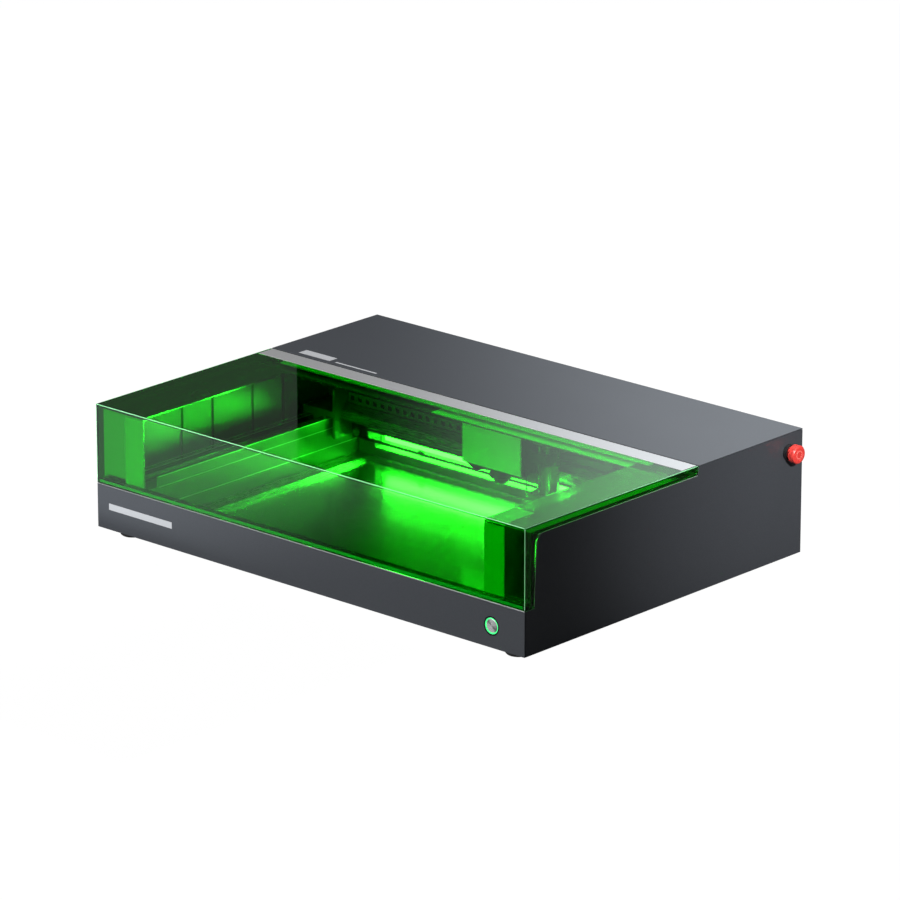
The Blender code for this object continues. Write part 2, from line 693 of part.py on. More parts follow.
def chain_run(name, x, low, parent):
    """A straight run of hollow cable chain, with a window in each link."""
    z = (low, low + CHAIN_HEIGHT)
    run = block(name, x, CHAIN_Y, z, "black_plastic", parent)
    cut(run, block(name + "_hollow", (x[0] - 0.01, x[1] + 0.01),
                   (CHAIN_Y[0] + CHAIN_SHEET, CHAIN_Y[1] - CHAIN_SHEET),
                   (z[0] + CHAIN_SHEET, z[1] - CHAIN_SHEET), "black_plastic", parent))
    border = CHAIN_PITCH / 4
    for i in range(int((x[1] - x[0]) / CHAIN_PITCH)):
        start = x[0] + border + i * CHAIN_PITCH
        cut(run, block(f"{name}_window_{i}", (start, start + CHAIN_PITCH / 2),
                       (CHAIN_Y[0] - 0.005, CHAIN_Y[1] + 0.005),
                       (z[0] + border, z[1] - border), "black_plastic", parent))


def chain_bend(axis):
    """The bend of the cable chain, with tails that slide in both runs."""
    bend_axis = empty("chain_bend_axis", (CHAIN_BEND_X, 0, CHAIN_RISE / 2), axis)
    half = 0.0045
    radius = CHAIN_RISE / 2
    low = CHAIN_Z + 0.0004
    middle = (CHAIN_BEND_X, low + radius)
    lower_tail = -0.090
    upper_tail = -0.068
    outline = [(lower_tail, low - half)] + arc(middle, radius + half, -90, 90, 14)
    outline += [(upper_tail, low + 2 * radius + half), (upper_tail, low + 2 * radius - half)]
    outline += arc(middle, radius - half, 90, -90, 14)
    outline += [(lower_tail, low + half)]
    prism("cable_chain_bend", outline, "y", (0.1265, 0.1395), "black_plastic", bend_axis)


# ------------------------------------------------------------------ carriage
def carriage(gantry_axis):
    axis = empty("carriage_axis", (0, 0, 0), gantry_axis)
    carriage_plate(axis)
    chain_run("cable_chain_upper", (-0.0980, 0.0700), CHAIN_Z + CHAIN_RISE - 0.0066, axis)
    z_drive(axis)
    laser_module(axis)


def carriage_plate(axis):
    """The plate in front of the beam, with the block that rides the X rail."""
    rail_low = BEAM_BOTTOM + 0.006
    rail_gap = 0.0005
    back = BEAM_FRONT - 0.0015
    front = 0.0995
    outline = [
        (front, 0.066), (front + 0.004, 0.066), (front + 0.004, rail_low - 0.005),
        (back, rail_low - 0.005), (back, rail_low - rail_gap),
        (BEAM_FRONT - 0.008 - rail_gap, rail_low - rail_gap),
        (BEAM_FRONT - 0.008 - rail_gap, rail_low + 0.012 + rail_gap),
        (back, rail_low + 0.012 + rail_gap), (back, rail_low + 0.017),
        (front + 0.004, rail_low + 0.017), (front + 0.004, 0.152), (front, 0.152),
    ]
    plate = prism("x_carriage_plate", outline, "x", (-0.0270, 0.0785), "satin_aluminium", axis)
    add(plate, block("chain_arm", (-0.0150, 0.0250), (front + 0.002, CHAIN_Y[0] - GAP),
                     (0.1280, 0.1405), "satin_aluminium", axis))


def z_drive(axis):
    """The Z axis beside the laser module: bracket with guide rod, and lead screw."""
    back = 0.1035
    front = 0.0770
    wall = 0.004
    low = 0.060
    high = 0.136
    outline = [
        (back, low), (front, low), (front, low + wall), (back - wall, low + wall),
        (back - wall, high - wall), (front, high - wall), (front, high), (back, high),
    ]
    bracket = prism("z_axis_bracket", outline, "x", (0.0790, 0.1080), "satin_aluminium", axis)
    seat = 0.001
    add(bracket, rod("z_guide_rod", "z", (*Z_ROD, low + wall - seat), 0.0025,
                     high - low - 2 * (wall - seat), "ground_steel", axis, 20))
    start = low + wall + GAP
    length = high - wall - GAP - start
    turning = empty("z_screw_axis", (Z_SCREW[0], Z_SCREW[1] - BEAM_FRONT, 0), axis)
    rod("z_screw", "z", (*Z_SCREW, start), 0.003, length, "ground_steel", turning, 20)


def laser_module(carriage_axis):
    axis = empty("module_axis", (0, 0, 0), carriage_axis)
    inset = 0.004
    back = 0.0992 - GAP
    bottom = MODULE_BOTTOM - 0.003
    housing = block("laser_housing", (MODULE_LEFT + inset, MODULE_RIGHT - inset),
                    (MODULE_FRONT + 0.0030, back), (bottom, MODULE_TOP - 0.003),
                    "black_plastic", axis, 0.0015)
    arm_z = (0.1040, 0.1180)
    arm = block("module_arm", (MODULE_RIGHT - 0.010, 0.1065), (0.0790, 0.0940), arm_z,
                "black_plastic", axis)
    add(housing, arm)
    cut(housing,
        rod("arm_screw_bore", "z", (*Z_SCREW, 0.09), 0.0036, 0.04, "black_plastic", axis, 20),
        rod("arm_rod_bore", "z", (*Z_ROD, 0.09), 0.0030, 0.04, "black_plastic", axis, 20))
    block("laser_front_cover", (MODULE_LEFT, MODULE_RIGHT), (MODULE_FRONT, MODULE_FRONT + 0.0027),
          (MODULE_BOTTOM, MODULE_TOP), "module_paint", axis, 0.0012)
    tip = 0.064
    profile = [
        (0.0035, tip), (0.0090, tip), (0.0115, tip + 0.006), (0.0160, tip + 0.008),
        (0.0160, bottom - GAP), (0.0060, bottom - GAP),
    ]
    turned("laser_nozzle", profile, "z", (*NOZZLE, 0), "black_plastic", axis, 32)


# ------------------------------------------------------------------ controls
def power_button(root):
    x, z = BUTTON
    tube("button_bezel", "y", (x, FRONT, z), 0.0127, 0.0112, 0.0140, "ground_steel", root, 36)
    tube("button_ring", "y", (x, FRONT + 0.0003, z), 0.0109, 0.0098, 0.0110, "glow_plastic", root, 36)
    axis = empty("button_axis", (x, FRONT, z), root)
    profile = [(0, 0.0004), (0.0085, 0.0004), (0.0094, 0.0010), (0.0094, 0.0120), (0, 0.0120)]
    turned("button_cap", profile, "y", (x, FRONT, z), "ground_steel", axis, 36)


def emergency_stop(root):
    y, z = STOP
    collar_length = 0.0050
    panel_face = HALF_W + GAP
    tube("stop_collar", "x", (panel_face, y, z), 0.0110, 0.0092, collar_length, "black_plastic", root)
    plunger_axis = empty("stop_axis", (panel_face, y, z), root)
    stem_start = panel_face - 0.0030
    head_start = HALF_W + 0.0083
    rod("stop_plunger", "x", (stem_start, y, z), 0.0088, head_start - GAP - stem_start,
        "black_plastic", plunger_axis, 32)
    head_axis = empty("stop_head_axis", (0, 0, 0), plunger_axis)
    end = STOP_PROTRUSION - 0.0083
    profile = [
        (0, 0), (0.0108, 0), (0.0125, 0.0016), (0.0125, end - 0.0022), (0.0112, end - 0.0006),
        (0.0080, end), (0.0070, end - 0.0007), (0.0060, end - 0.0007), (0, end - 0.0007),
    ]
    turned("stop_head", profile, "x", (head_start, y, z), "red_plastic", head_axis, 36)


def exhaust(root):
    """The fan behind the rear panel and the hose collar outside it."""
    x, z = FAN
    y = (0.2440, 0.2695)
    half = 0.0600
    frame = block("exhaust_fan_frame", (x - half, x + half), y, (z - half, z + half),
                  "black_plastic", root)
    cut(frame, rod("fan_bore", "y", (x, y[0] - 0.01, z), FAN_BORE, 0.05, "black_plastic", root, 40))
    strut_y = (y[1] - 0.0040, y[1] - 0.0010)
    add(frame,
        block("fan_strut_across", (x - half + 0.002, x + half - 0.002), strut_y,
              (z - 0.0025, z + 0.0025), "black_plastic", root),
        block("fan_strut_up", (x - 0.0025, x + 0.0025), strut_y,
              (z - half + 0.002, z + half - 0.002), "black_plastic", root),
        rod("fan_hub_plate", "y", (x, strut_y[0] - 0.0004, z), 0.0190, 0.0035, "black_plastic",
            root, 32))
    axis = empty("impeller_axis", (x, y[0], z), root)
    hub_end = strut_y[0] - 0.0010
    impeller = rod("exhaust_impeller", "y", (x, y[0] + 0.001, z), 0.0185, hub_end - y[0] - 0.001,
                   "black_plastic", axis, 28)
    blades = 7
    for i in range(blades):
        blade = block(f"fan_blade_{i}", (x + 0.0140, x + 0.0535), (0.2528, 0.2545),
                      (z - 0.0110, z + 0.0110), "black_plastic", axis)
        turn = Matrix.Rotation(2 * math.pi * i / blades, 4, "Y")
        pitch = Matrix.Rotation(math.radians(32), 4, "X")
        reach = Vector(((0.0140 + 0.0535) / 2, 0, 0))
        blade.location = Vector((0, 0.2536 - y[0], 0)) + turn @ reach
        blade.rotation_euler = (turn @ pitch).to_euler()
        add(impeller, blade)
    profile = [
        (COLLAR_BORE, 0), (COLLAR_BORE + 0.0095, 0), (COLLAR_BORE + 0.0095, 0.0020),
        (COLLAR_BORE + 0.0025, 0.0030), (COLLAR_BORE + 0.0025, COLLAR_PROTRUSION - GAP),
        (COLLAR_BORE, COLLAR_PROTRUSION - GAP),
    ]
    turned("exhaust_collar", profile, "y", (x, BACK + GAP, z), "black_plastic", root, 48)


def power_entry(root):
    """The mains inlet, with its rocker switch."""
    x, z = INLET
    half_x = 0.0330
    half_z = 0.0130
    face = BACK - 0.0005
    body = block("power_inlet", (x - half_x, x + half_x), (face - 0.030, face),
                 (z - half_z, z + half_z), "black_plastic", root, 0.0008)
    socket_x = (x - 0.0290, x - 0.0010)
    cut(body, block("inlet_socket", socket_x, (face - 0.022, face + 0.01),
                    (z - 0.0095, z + 0.0095), "black_plastic", root))
    cut(body, block("rocker_well", (x + 0.0040, x + 0.0290), (face - 0.018, face + 0.01),
                    (z - 0.0090, z + 0.0090), "black_plastic", root))
    pin_y = (face - 0.0235, face - 0.0080)
    for name, dx, dz in (("line", -0.007, -0.0025), ("neutral", 0.007, -0.0025), ("earth", 0, 0.0030)):
        middle = (socket_x[0] + socket_x[1]) / 2 + dx
        add(body, block(f"inlet_pin_{name}", (middle - 0.0010, middle + 0.0010), pin_y,
                        (z + dz - 0.0020, z + dz + 0.0020), "black_plastic", root))
    pivot = (x + 0.0165, face - 0.0080, z)
    axis = empty("rocker_axis", pivot, root)
    axis.rotation_euler.z = -ROCKER_TILT
    half = 0.0115
    outline = [
        (-half, 0.0050), (-half, 0.0), (0, -0.0040), (half, 0.0), (half, 0.0050),
        (half * 0.4, 0.0058), (0, 0.0053), (-half * 0.4, 0.0058),
    ]
    rocker = prism("power_rocker", outline, "z", (-0.0084, 0.0084), "red_plastic", axis)
    rocker.location = (0, 0, 0)


def power_supply(root):
    block("power_supply", (-0.2350, -0.0750), (0.1850, 0.2620), (0.0030, 0.0480),
          "satin_aluminium", root, 0.001)


# --------------------------------------------------------------------- build
def build():
    clear_scene()
    shift_x = -STOP_PROTRUSION / 2
    shift_y = -COLLAR_PROTRUSION / 2
    root = empty("machine_origin", (shift_x, shift_y, FOOT_HEIGHT))
    base_plate(root)
    front_panel(root)
    front_beam(root)
    rear_panel(root)
    top_cover(root)
    rear_inner_wall(root)
    opening_frame(root)
    light_bar(root)
    bed(root)
    for side_name, side in (("left", -1), ("right", 1)):
        side_panel(f"{side_name}_side_panel", side, root)
        side_channel(f"{side_name}_channel", side, root)
        inner_wall(f"{side_name}_inner_wall", side, root)
        y_rail(f"{side_name}_y_rail", side, root)
        y_drive(side_name, side, root)
    for end_name, end in (("front", -1), ("rear", 1)):
        for side_name, side in (("left", -1), ("right", 1)):
            foot(f"{end_name}_{side_name}_foot", side * FOOT_X, end * FOOT_Y, root)
    lid(root)
    gantry(root)
    power_button(root)
    emergency_stop(root)
    exhaust(root)
    power_entry(root)
    power_supply(root)


build()
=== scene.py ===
"""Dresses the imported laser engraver: finishes, small hardware, pale floor, studio light and camera.

Lengths are in metres, in the frame's own axes: X to the right, Y to the back, Z up.
Places on the machine are written from the middle of the housing's underside; at() turns
them into the frame's axes, which start under the middle of the whole machine.
"""

import json
import math

import bmesh
import bpy
from mathutils import Matrix, Vector

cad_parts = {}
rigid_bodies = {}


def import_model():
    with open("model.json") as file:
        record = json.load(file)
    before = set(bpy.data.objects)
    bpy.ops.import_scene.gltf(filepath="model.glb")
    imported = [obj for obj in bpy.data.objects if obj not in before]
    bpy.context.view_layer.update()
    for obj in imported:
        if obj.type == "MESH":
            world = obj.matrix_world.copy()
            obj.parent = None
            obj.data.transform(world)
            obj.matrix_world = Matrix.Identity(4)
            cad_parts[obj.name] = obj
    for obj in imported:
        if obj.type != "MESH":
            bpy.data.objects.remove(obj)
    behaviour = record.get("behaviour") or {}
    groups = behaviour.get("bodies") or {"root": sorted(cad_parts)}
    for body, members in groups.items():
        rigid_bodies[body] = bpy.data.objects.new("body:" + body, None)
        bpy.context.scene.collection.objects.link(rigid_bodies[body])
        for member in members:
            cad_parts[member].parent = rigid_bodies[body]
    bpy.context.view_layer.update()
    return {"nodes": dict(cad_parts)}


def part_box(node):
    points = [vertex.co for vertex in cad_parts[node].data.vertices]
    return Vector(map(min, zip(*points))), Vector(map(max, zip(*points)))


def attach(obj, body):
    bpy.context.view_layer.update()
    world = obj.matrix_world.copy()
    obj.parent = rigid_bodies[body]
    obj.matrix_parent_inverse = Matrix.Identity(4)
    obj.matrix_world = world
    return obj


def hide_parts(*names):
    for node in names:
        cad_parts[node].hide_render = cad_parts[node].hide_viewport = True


for old in list(bpy.data.objects):
    bpy.data.objects.remove(old)

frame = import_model()
nodes = frame["nodes"]

# ------------------------------------------------------------------- places
# The housing's underside sits one foot height above the floor, and the rear
# collar and the emergency stop shift the whole machine's middle.
cover_low, cover_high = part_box("top_cover")
panel_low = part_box("front_panel")[0]
plate_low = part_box("base_plate")[0]
HOUSING_MIDDLE = Vector(((cover_low.x + cover_high.x) / 2,
                         (panel_low.y + cover_high.y) / 2,
                         plate_low.z))
HALF_WIDTH = (cover_high.x - cover_low.x) / 2
X_AXIS = Vector((1, 0, 0))
Y_AXIS = Vector((0, 1, 0))
Z_AXIS = Vector((0, 0, 1))


def at(x, y, z):
    """A place on the housing, in the frame's axes."""
    return HOUSING_MIDDLE + Vector((x, y, z))


# ---------------------------------------------------------------- materials
# Noise values lie mostly between these two, so they are spread to the full range.
NOISE_LOW = 0.3
NOISE_HIGH = 0.7
BUMP_DEPTH = 0.0002
SCRATCH_DEPTH = 0.0001


def new_material(name):
    """A material, and the shader node that its surface starts from."""
    material = bpy.data.materials.new(name)
    material.use_nodes = True
    shader = material.node_tree.nodes["Principled BSDF"]
    return material, shader


def add_noise(material, scale, detail=3.0, stretch=(1, 1, 1)):
    """A noise pattern in the piece's own coordinates, stretched along its axes."""
    tree = material.node_tree
    coordinates = tree.nodes.new("ShaderNodeTexCoord")
    mapping = tree.nodes.new("ShaderNodeMapping")
    mapping.inputs["Scale"].default_value = stretch
    noise = tree.nodes.new("ShaderNodeTexNoise")
    noise.inputs["Scale"].default_value = scale
    noise.inputs["Detail"].default_value = detail
    tree.links.new(coordinates.outputs["Object"], mapping.inputs["Vector"])
    tree.links.new(mapping.outputs["Vector"], noise.inputs["Vector"])
    return noise


def vary_colour(material, shader, noise, colour, spread, socket="Base Color"):
    """Runs the colour a little darker and lighter with the noise."""
    tree = material.node_tree
    ramp = tree.nodes.new("ShaderNodeValToRGB")
    ramp.color_ramp.elements[0].position = NOISE_LOW
    ramp.color_ramp.elements[1].position = NOISE_HIGH
    ramp.color_ramp.elements[0].color = [c * (1 - spread) for c in colour] + [1]
    ramp.color_ramp.elements[1].color = [min(1, c * (1 + spread)) for c in colour] + [1]
    tree.links.new(noise.outputs["Fac"], ramp.inputs["Fac"])
    tree.links.new(ramp.outputs["Color"], shader.inputs[socket])


def vary_roughness(material, shader, noise, low, high):
    """Runs the roughness between two values with the noise."""
    tree = material.node_tree
    span = tree.nodes.new("ShaderNodeMapRange")
    span.inputs["From Min"].default_value = NOISE_LOW
    span.inputs["From Max"].default_value = NOISE_HIGH
    span.inputs["To Min"].default_value = low
    span.inputs["To Max"].default_value = high
    tree.links.new(noise.outputs["Fac"], span.inputs["Value"])
    tree.links.new(span.outputs["Result"], shader.inputs["Roughness"])


def add_bump(material, shader, noise, strength, distance):
    """Raises and lowers the surface a little with the noise."""
    tree = material.node_tree
    bump = tree.nodes.new("ShaderNodeBump")
    bump.inputs["Strength"].default_value = strength
    bump.inputs["Distance"].default_value = distance
    tree.links.new(noise.outputs["Fac"], bump.inputs["Height"])
    tree.links.new(bump.outputs["Normal"], shader.inputs["Normal"])


def textured(name, colour, roughness, metallic, grain, spread, bump, mottle=0.10):
    """A painted, moulded or plain metal finish.

    The grain is fine: spread is how far the colour runs with it, and bump how strongly it
    raises the surface. The mottle is broad: it is how far the roughness runs.
    """
    material, shader = new_material(name)
    shader.inputs["Metallic"].default_value = metallic
    fine = add_noise(material, grain, detail=4.0)
    broad = add_noise(material, scale=9.0, detail=2.0)
    vary_colour(material, shader, fine, colour, spread)
    vary_roughness(material, shader, broad, roughness * (1 - mottle), roughness * (1 + mottle))
    add_bump(material, shader, fine, bump, BUMP_DEPTH)
    return material


def brushed(name, colour, roughness, stretch, coat=0.0, coat_roughness=0.1):
    """Metal with fine parallel scratches, and a slight change of gloss across them."""
    material, shader = new_material(name)
    shader.inputs["Metallic"].default_value = 1.0
    shader.inputs["Coat Weight"].default_value = coat
    shader.inputs["Coat Roughness"].default_value = coat_roughness
    lines = add_noise(material, scale=60.0, detail=6.0, stretch=stretch)
    vary_colour(material, shader, lines, colour, spread=0.10)
    vary_roughness(material, shader, lines, roughness * 0.75, roughness * 1.25)
    add_bump(material, shader, lines, strength=0.08, distance=SCRATCH_DEPTH)
    return material


ACRYLIC_COLOUR = (0.16, 0.95, 0.24, 1)
ACRYLIC_DENSITY = 1400.0
ACRYLIC_IOR = 1.49


def clear_green(name):
    """Green laser-safe acrylic: clear, glossy, and coloured through its depth."""
    material, shader = new_material(name)
    tree = material.node_tree
    shader.inputs["Base Color"].default_value = (1, 1, 1, 1)
    shader.inputs["Transmission Weight"].default_value = 1.0
    shader.inputs["IOR"].default_value = ACRYLIC_IOR
    smears = add_noise(material, scale=6.0, detail=3.0)
    vary_roughness(material, shader, smears, low=0.0, high=0.008)
    ripple = add_noise(material, scale=14.0, detail=1.0)
    add_bump(material, shader, ripple, strength=0.02, distance=BUMP_DEPTH)
    absorption = tree.nodes.new("ShaderNodeVolumeAbsorption")
    absorption.inputs["Color"].default_value = ACRYLIC_COLOUR
    absorption.inputs["Density"].default_value = ACRYLIC_DENSITY
    output = tree.nodes["Material Output"]
    tree.links.new(absorption.outputs["Volume"], output.inputs["Volume"])
    # Lamps shine straight through, so that the chamber is lit through the lid.
    path = tree.nodes.new("ShaderNodeLightPath")
    open_way = tree.nodes.new("ShaderNodeBsdfTransparent")
    mix = tree.nodes.new("ShaderNodeMixShader")
    tree.links.new(path.outputs["Is Shadow Ray"], mix.inputs["Fac"])
    tree.links.new(shader.outputs["BSDF"], mix.inputs[1])
    tree.links.new(open_way.outputs["BSDF"], mix.inputs[2])
    tree.links.new(mix.outputs["Shader"], output.inputs["Surface"])
    return material


# Painted highlight and shade of the spun metal, put in its colour: how bright it is at each share of a
# turn, where two wedges are dark.
SPUN_SHEEN_WEDGES = (
    (0.0, 1.0), (0.12, 0.35), (0.22, 1.0), (0.42, 0.85),
    (0.58, 0.30), (0.70, 1.0), (1.0, 1.0),
)


def spun(name, colour, centre):
    """Metal turned on a lathe about Y, with its sheen painted into the colour: light and dark wedges
    that meet at the centre.
    """
    material, shader = new_material(name)
    tree = material.node_tree
    shader.inputs["Metallic"].default_value = 0.5
    coordinates = tree.nodes.new("ShaderNodeTexCoord")
    shift = tree.nodes.new("ShaderNodeVectorMath")
    shift.operation = "SUBTRACT"
    shift.inputs[1].default_value = centre
    turn = tree.nodes.new("ShaderNodeMapping")
    turn.inputs["Rotation"].default_value = (math.radians(90), 0, 0)
    around = tree.nodes.new("ShaderNodeTexGradient")
    around.gradient_type = "RADIAL"
    ramp = tree.nodes.new("ShaderNodeValToRGB")
    ramp.color_ramp.interpolation = "EASE"
    last = len(SPUN_SHEEN_WEDGES) - 1
    for i, (share, level) in enumerate(SPUN_SHEEN_WEDGES):
        if i in (0, last):
            stop = ramp.color_ramp.elements[0 if i == 0 else -1]
            stop.position = share
        else:
            stop = ramp.color_ramp.elements.new(share)
        stop.color = [c * level for c in colour] + [1]
    tree.links.new(coordinates.outputs["Object"], shift.inputs[0])
    tree.links.new(shift.outputs["Vector"], turn.inputs["Vector"])
    tree.links.new(turn.outputs["Vector"], around.inputs["Vector"])
    tree.links.new(around.outputs["Fac"], ramp.inputs["Fac"])
    tree.links.new(ramp.outputs["Color"], shader.inputs["Base Color"])
    grain = add_noise(material, scale=500.0, detail=3.0)
    vary_roughness(material, shader, grain, low=0.22, high=0.34)
    return material


def glowing(name, colour, strength):
    """A lit diffuser, a little uneven in colour."""
    material, shader = new_material(name)
    shader.inputs["Base Color"].default_value = (*colour, 1)
    shader.inputs["Emission Strength"].default_value = strength
    noise = add_noise(material, scale=40.0, detail=2.0)
    vary_colour(material, shader, noise, colour, spread=0.08, socket="Emission Color")
    vary_roughness(material, shader, noise, low=0.3, high=0.5)
    return material


HOUSING = textured("housing_powder_coat", (0.066, 0.071, 0.081), roughness=0.34, metallic=0.15,
                   grain=1400.0, spread=0.14, bump=0.12, mottle=0.02)
INNER = textured("chamber_powder_coat", (0.20, 0.21, 0.22), roughness=0.34, metallic=0.5,
                 grain=1200.0, spread=0.12, bump=0.1, mottle=0.04)
FRAME_SHEET = textured("opening_frame_sheet", (0.52, 0.53, 0.54), roughness=0.13, metallic=1.0,
                       grain=1400.0, spread=0.08, bump=0.02, mottle=0.03)
# Pale for the lit lengths of the strip round the opening: painted light.
PAINTED_LIGHT_STRIP = textured("painted_light_strip", (0.66, 0.66, 0.64), roughness=0.35, metallic=0.0,
                      grain=1500.0, spread=0.05, bump=0.03)
# Pale metal for the lines on the rail edges and the channel folds: painted highlights.
EDGE_LINE_HIGHLIGHT = textured("metal_line_painted_highlight", (0.78, 0.79, 0.80), roughness=0.25, metallic=0.4,
                       grain=1500.0, spread=0.06, bump=0.02)
LEG_STRIP = textured("leg_strip", (0.26, 0.27, 0.27), roughness=0.30, metallic=0.0,
                     grain=1500.0, spread=0.06, bump=0.03)
# Pale grey on the sheets' edges: a painted highlight where the edges catch light.
SHEET_EDGE_HIGHLIGHT = textured("sheet_edge_painted_highlight", (0.50, 0.51, 0.52), roughness=0.30, metallic=0.3,
                     grain=1500.0, spread=0.08, bump=0.03)
# Pale green for the strips on the lid's edges: a painted highlight where the acrylic's edges catch
# light.
ACRYLIC_EDGE_HIGHLIGHT = textured("acrylic_edge_painted_highlight", (0.42, 0.80, 0.54), roughness=0.18, metallic=0.0,
                        grain=1500.0, spread=0.06, bump=0.02)
# Green for the strip along the lid's bottom front edge: a painted glow, the edge's brightness put into
# an opaque colour.
ACRYLIC_LIP_GLOW = textured("acrylic_lip_painted_glow", (0.012, 0.22, 0.085), roughness=0.25, metallic=0.0,
                       grain=1500.0, spread=0.08, bump=0.02)
GLOSS_STRIP = textured("opening_edge_strip", (0.030, 0.032, 0.034), roughness=0.16, metallic=0.0,
                       grain=1500.0, spread=0.2, bump=0.02)
WHITE_LINING = textured("lamp_reflector", (0.80, 0.80, 0.78), roughness=0.5, metallic=0.0,
                        grain=900.0, spread=0.05, bump=0.05)
GREEN = clear_green("laser_safe_acrylic")
TRIM = textured("satin_trim", (0.80, 0.80, 0.80), roughness=0.34, metallic=0.7,
                grain=1400.0, spread=0.06, bump=0.05, mottle=0.02)
ALONG_X = brushed("brushed_aluminium_x", (0.55, 0.55, 0.55), roughness=0.28, stretch=(1, 30, 30))
ALONG_Y = brushed("brushed_aluminium_y", (0.55, 0.55, 0.55), roughness=0.28, stretch=(30, 1, 30))
STEEL = brushed("ground_steel", (0.52, 0.53, 0.54), roughness=0.16, stretch=(30, 1, 30))
BED = brushed("bed_steel", (0.62, 0.63, 0.63), roughness=0.17, stretch=(1, 24, 24),
              coat=1.0, coat_roughness=0.50)
BLACK = textured("black_moulding", (0.014, 0.014, 0.015), roughness=0.42, metallic=0.0,
                 grain=1600.0, spread=0.2, bump=0.2)
RUBBER = textured("black_rubber", (0.012, 0.012, 0.012), roughness=0.75, metallic=0.0,
                  grain=1100.0, spread=0.25, bump=0.3)
RED = textured("red_moulding", (0.74, 0.052, 0.042), roughness=0.34, metallic=0.0,
               grain=900.0, spread=0.08, bump=0.08)
# Paler red for the ring on the stop's face: a painted highlight.
RED_RING_HIGHLIGHT = textured("red_moulding_painted_highlight", (0.90, 0.20, 0.17), roughness=0.30, metallic=0.0,
                    grain=900.0, spread=0.08, bump=0.05)
# Mid grey on the front panel's vertical folds, lighter than the housing: a painted highlight.
FOLD_HIGHLIGHT = textured("front_fold_highlight_paint", (0.22, 0.23, 0.24), roughness=0.30, metallic=0.3,
                      grain=1500.0, spread=0.08, bump=0.03)
CARD = textured("module_cover_paint", (0.80, 0.80, 0.76), roughness=0.42, metallic=0.0,
                grain=1500.0, spread=0.07, bump=0.1)
PALE_MARK = textured("silver_inlay", (0.58, 0.59, 0.61), roughness=0.45, metallic=0.2,
                     grain=1500.0, spread=0.06, bump=0.05)
cap_low, cap_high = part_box("button_cap")
CAP = spun("spun_button_painted_sheen", (0.80, 0.81, 0.82), (cap_low + cap_high) / 2)
LAMP = glowing("lamp_diffuser", (1.0, 0.95, 0.55), strength=70.0)
GLOW = glowing("glow_ring", (0.05, 0.80, 0.22), strength=0.9)
SCREW = textured("black_oxide_screw", (0.030, 0.030, 0.032), roughness=0.30, metallic=0.8,
                 grain=1500.0, spread=0.2, bump=0.1)
DARK_HOLE = textured("dark_recess", (0.006, 0.006, 0.006), roughness=0.7, metallic=0.0,
                     grain=900.0, spread=0.3, bump=0.1)
DARK_METAL = brushed("dark_anodised", (0.24, 0.24, 0.24), roughness=0.32, stretch=(1, 30, 30))
CHANNEL = textured("channel_paint", (0.105, 0.107, 0.112), roughness=0.32, metallic=0.2,
                   grain=1300.0, spread=0.12, bump=0.08, mottle=0.03)
CHAIN = textured("chain_moulding", (0.075, 0.076, 0.078), roughness=0.45, metallic=0.0,
                 grain=1500.0, spread=0.15, bump=0.15)
CHROME = brushed("polished_steel", (0.72, 0.72, 0.72), roughness=0.10, stretch=(20, 20, 1))

FINISH_OF_NODE = {
    "top_cover": HOUSING, "front_panel": HOUSING, "left_side_panel": HOUSING,
    "right_side_panel": HOUSING, "rear_panel": HOUSING, "base_plate": INNER,
    "front_beam": CHANNEL, "left_channel": CHANNEL, "right_channel": CHANNEL,
    "left_inner_wall": INNER, "right_inner_wall": INNER, "rear_inner_wall": INNER,
    "opening_frame": FRAME_SHEET,
    "lid_shell": GREEN, "lid_trim_bar": TRIM, "light_bar": LAMP,
    "bed_frame": ALONG_Y, "work_plate": BED, "left_y_rail": STEEL, "right_y_rail": STEEL,
    "left_hinge_bracket": STEEL, "right_hinge_bracket": STEEL,
    "x_beam": DARK_METAL, "x_rail": ALONG_X, "left_gantry_end": INNER, "right_gantry_end": INNER,
    "x_drive_pulley": STEEL, "x_idler_pulley": STEEL, "x_carriage_plate": INNER,
    "z_axis_bracket": ALONG_Y, "laser_front_cover": CARD,
    "button_cap": CAP, "button_ring": GLOW, "button_bezel": SCREW,
    "cable_chain_bend": CHAIN, "cable_chain_lower": CHAIN, "cable_chain_upper": CHAIN,
    "stop_head": RED, "stop_plunger": RED, "stop_collar": BLACK,
}
RUBBER_NODES = ("x_belt", "front_left_foot", "front_right_foot", "rear_left_foot", "rear_right_foot")
BEVELLED_NODES = (
    "left_y_rail", "right_y_rail", "x_rail", "x_beam", "left_channel", "right_channel",
    "bed_frame", "work_plate", "z_axis_bracket", "opening_frame", "front_beam",
    "left_gantry_end", "right_gantry_end",
)
BEVEL_WIDTH = 0.0004


def finish_nodes():
    """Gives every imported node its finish, and a fine bevel where its edges catch light.

    A node that has no finish of its own is a black moulding.
    """
    for name, node in nodes.items():
        finish = FINISH_OF_NODE.get(name, BLACK)
        if name in RUBBER_NODES:
            finish = RUBBER
        for i in range(len(node.data.materials)):
            node.data.materials[i] = finish
    for name in BEVELLED_NODES:
        bevel = nodes[name].modifiers.new("edge_bevel", "BEVEL")
        bevel.width = BEVEL_WIDTH
        bevel.segments = 2
        bevel.limit_method = "ANGLE"
        bevel.angle_limit = math.radians(40)
        bevel.harden_normals = True


